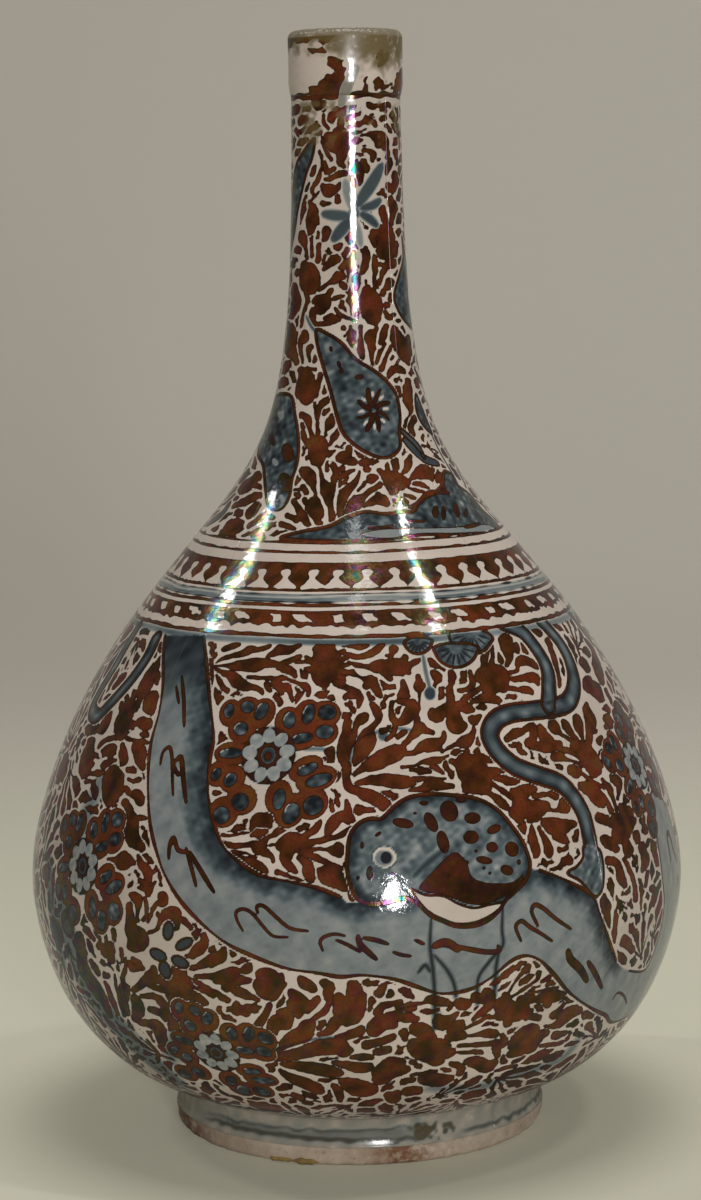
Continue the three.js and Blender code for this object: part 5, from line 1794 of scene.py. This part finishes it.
def mouth_coat():
    """The glaze over the collar, the lip and down into the neck."""
    out = mouth_path()
    step = np.gradient(out, axis=0)
    step /= np.linalg.norm(step, axis=1)[:, None]
    back = out + COAT * np.column_stack([-step[:, 1], step[:, 0]])
    back[0, 1], back[-1, 1] = out[0, 1], out[-1, 1]
    picks = sorted({*range(0, len(out), 3), len(out) - 1})
    path = np.vstack([out, back[picks][::-1]])
    number = np.arange(len(path))[:, None]

    def wear(r, z, t):
        chip = np.clip(z - 297.6, 0, 2.4) / 2.4 * (number < len(out))
        soft = 0.09 + 0.05 * tremble(np.full_like(r, 3), t) + 0.05 * wobble(np.zeros_like(r), t)
        soft = np.clip(soft, 0, 0.3)
        return r - 0.5 * soft * chip * np.sign(r - 12.3), z - soft * chip

    ob, r, z, t = lathe("mouth_glaze_coat", path, 320, wear)
    paint_attributes(ob, mouth_paint(r, z, (number < 34) & (r > 12)))
    return ob


def mouth_paint(r, z, on_collar):
    """The top belt's paint on the collar, and a stained blue-grey glaze on the rest."""
    belt = BELTS[3]
    top = len(belt.s) - 1
    rows = np.clip(np.interp(z, [belt.z[0], belt.z[-1]], [0, top]), 0, top)
    i = np.minimum(rows.astype(int), top - 1)
    f = rows - i
    j = np.broadcast_to(np.arange(belt.n)[None, :], r.shape)
    rest = {"lustre": -9, "ink": -9, "blue": 0.12, "tone": 0.5, "stain": 0.75}
    values = {n: belt.f[n][i, j] * (1 - f) + belt.f[n][i + 1, j] * f for n in PAINT}
    values["stain"] = np.maximum(values["stain"], ramp(z, 296.5, 298.5))
    return {n: np.where(on_collar, v, rest[n]).ravel() for n, v in values.items()}


def foot():
    """The bare foot ring, a little worn at its edges."""
    path = polyline([(41.4, 12.28), (43.9, 1.3), (44.9, 0.0), (49.3, 0)], (12, 4, 6))
    path += rounded(49.3, 1.75, np.radians(np.linspace(0, 80, 7)))
    path += polyline([(51.15, 2.0), (51.45, 4.3)], (5,)) + [(51.45, 4.7), (51.3, 5.1), (50.8, 5.19)]
    path += polyline([(50.8, 5.22), (50.1, 7.2), (50.1, 10), (50.7, 12.28)], (3, 3, 3))
    path.append((50.7, 12.28))

    def wear(r, z, t):
        bare = np.clip(5.0 - z, 0, 1) * (r > 47)
        rub = 0.12 + 0.09 * wobble(z, t) + 0.05 * tremble(z, t)
        lower = np.clip(0.1 * wobble(np.zeros_like(r), t), 0, 0.25) * (z > 0.05) * bare
        return r - np.clip(rub, 0, 0.4) * bare, z + lower

    ob, r, z, t = lathe("foot_ring_clay", path, 360, wear)
    places = ((0.22, 0.16), (-1.15, 0.2), (2.6, 0.3))
    near, left, back = (np.exp(-((t - at) / wide) ** 2) for at, wide in places)
    stains = np.maximum(np.maximum(near, 0.9 * left), 0.5 * back) + 0.15
    stains = stains * np.clip((r - 46) / 3, 0, 1)
    paint_attributes(ob, {"stain": np.clip(stains, 0, 1).ravel()})
    return ob


def crust():
    """A little yellow crust that clings to the foot's lower edge."""
    count, rings = 60, 10
    verts = []
    for k, angle in enumerate(np.linspace(-0.50, -0.215, count)):
        u = k / (count - 1)
        fat = 0.8 + 0.25 * math.sin(9 * u + 1) + 0.15 * math.sin(23 * u)
        fat = (0.25 + 0.95 * math.sin(math.pi * u) ** 0.5) * fat
        for n in range(rings):
            w = 2 * math.pi * n / rings
            bump = 1 + 0.18 * math.sin(5 * w + 11 * u) + 0.12 * math.sin(3 * w - 31 * u)
            r = min(50.6 + fat * 0.75 * bump * math.cos(w), 51.9)
            z = max(1.0 + fat * 0.85 * bump * math.sin(w), 0.02)
            verts.append((r * math.sin(angle), -r * math.cos(angle), z))
    grid = np.arange(count * rings).reshape(count, rings)
    faces = quads(np.hstack([grid, grid[:, :1]]))
    loops = np.concatenate([faces.ravel(), grid[0, ::-1], grid[-1]])
    starts = 4 * np.arange(len(faces) + 1)
    return mesh_object("foot_crust", verts, loops, [*starts, starts[-1] + rings])


def dress(ob, material):
    ob.data.materials.clear()
    ob.data.materials.append(material)


paint = glaze_paint()
coats = [gore("outer_glaze_" + side, k) for k, side in enumerate(("front", "right", "back", "left"))]
mouth = mouth_coat()
for piece in coats + [mouth]:
    dress(piece, paint)
    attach(piece, "root")
for piece in coats:
    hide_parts("outer_glaze")
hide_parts("mouth_glaze")

ring = foot()
dress(ring, bare_clay("foot_clay", srgb(188, 172, 153), srgb(170, 152, 132), srgb(116, 78, 50)))
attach(ring, "root")
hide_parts("foot_ring")
lump = crust()
dress(lump, bare_clay("crust", srgb(150, 124, 70), srgb(116, 92, 48)))
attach(lump, "root")

body_clay = bare_clay("body_clay", srgb(205, 180, 160), srgb(188, 160, 138))
white_slip = bare_clay("white_slip", srgb(222, 208, 192), srgb(208, 192, 174))
for name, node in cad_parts.items():
    if name in ("outer_glaze", "mouth_glaze", "foot_ring"):
        continue
    if name == "recess_glaze":
        dress(node, plain_glaze("recess_glaze", srgb(186, 182, 168), srgb(164, 158, 142)))
    else:
        dress(node, white_slip if "slip" in name else body_clay)


def lamp(name, kind, place, target, power, size):
    data = bpy.data.lights.new(name, "AREA")
    data.shape, data.energy = kind, power
    data.size, data.size_y = size
    ob = bpy.data.objects.new(name, data)
    bpy.context.scene.collection.objects.link(ob)
    ob.location = place
    ob.rotation_euler = (Vector(target) - Vector(place)).to_track_quat("-Z", "Y").to_euler()


def far_lamp(name, side, up, distance, size, power):
    """A lamp that is seen from the bottle at these angles, in degrees."""
    side, up = math.radians(side), math.radians(up)
    flat, middle = distance * math.cos(up), 0.15
    place = (flat * math.sin(side), -flat * math.cos(side), middle + distance * math.sin(up))
    lamp(name, "ELLIPSE", place, (0, 0, middle), power, size)


def sweep():
    """A pale floor that bends up into a wall behind the bottle."""
    path = [(-1.6, 0.0)] + [(y, 0.0) for y in np.linspace(-0.8, 0.9, 18)]
    path += rounded(0.9, 0.9, np.linspace(0.08, math.pi / 2, 16)) + [(1.8, 2.6)]
    xs = np.linspace(-3, 3, 25)
    verts = np.array([(x / MM, y / MM, z / MM) for y, z in path for x in xs])
    return grid_object("floor", verts, np.arange(len(verts)).reshape(len(path), len(xs)))


def backdrop():
    """The sweep's paint, with painted light that makes it a little brighter to the camera near the
    bottle, and clear from behind.
    """
    m = Shader("backdrop")
    place = m.put("ShaderNodeTexCoord").outputs["Object"]
    split = m.put("ShaderNodeSeparateXYZ")
    across, away = m.fed(split, "X", Vector=place), m.fit(split.outputs["Y"], 0.1, 0.8)
    # The wall is painted darker to the left and lighter to the right: painted shade and light.
    wall = m.mix(m.fit(across, -0.7, 0.7), srgb(191, 185, 170), srgb(202, 196, 184))
    colour = m.mix(away, srgb(194, 191, 171), wall)
    # Painted light: near the bottle the floor glows a little to the camera, which lifts the bottle's
    # shadow there.
    shown = m.times(m.put("ShaderNodeLightPath").outputs["Is Camera Ray"], 0.19)
    shadow_lifting_glow = m.times(shown, m.math("SUBTRACT", 1.0, away))
    m.set(Base_Color=colour, Roughness=0.9, Emission_Color=srgb(192, 189, 168), Emission_Strength=shadow_lifting_glow)
    behind = m.put("ShaderNodeNewGeometry").outputs["Backfacing"]
    clear = m.put("ShaderNodeBsdfTransparent").outputs[0]
    either = m.put("ShaderNodeMixShader")
    for source, socket in zip((behind, m.skin.outputs[0], clear), either.inputs):
        m.join(source, socket)
    m.join(either.outputs[0], m.tree.nodes["Material Output"].inputs["Surface"])
    return m.mat


def light_world():
    """A weak warm light from all round, which the camera sees as a pale grey."""
    world = bpy.data.worlds.new("world")
    bpy.context.scene.world = world
    world.use_nodes = True
    nodes, links = world.node_tree.nodes, world.node_tree.links
    light, pale = nodes["Background"], nodes.new("ShaderNodeBackground")
    light.inputs["Color"].default_value = (1.0, 0.98, 0.95, 1)
    light.inputs["Strength"].default_value = 0.12
    pale.inputs["Color"].default_value = srgb(158, 152, 139)
    either = nodes.new("ShaderNodeMixShader")
    seen_by = nodes.new("ShaderNodeLightPath").outputs["Is Camera Ray"]
    for source, socket in zip((seen_by, light.outputs[0], pale.outputs[0]), either.inputs):
        links.new(source, socket)
    links.new(either.outputs[0], nodes["World Output"].inputs["Surface"])


def studio():
    """A pale sweep with a lamp behind the camera, one high on each side and a soft one overhead."""
    floor = sweep()
    dress(floor, backdrop())
    light_world()
    far_lamp("front", 11.5, 5.8, 2.5, (0.42, 0.42), 32)
    far_lamp("left", -104, 46, 2.2, (0.07, 0.36), 5)
    far_lamp("right", 70, 61, 2.2, (0.07, 0.26), 5)
    lamp("top", "RECTANGLE", (0.1, -0.1, 2.3), (0, 0, 0.1), 20, (1.0, 1.0))


studio()
make_camera()
bpy.context.scene.view_settings.view_transform = "Standard"
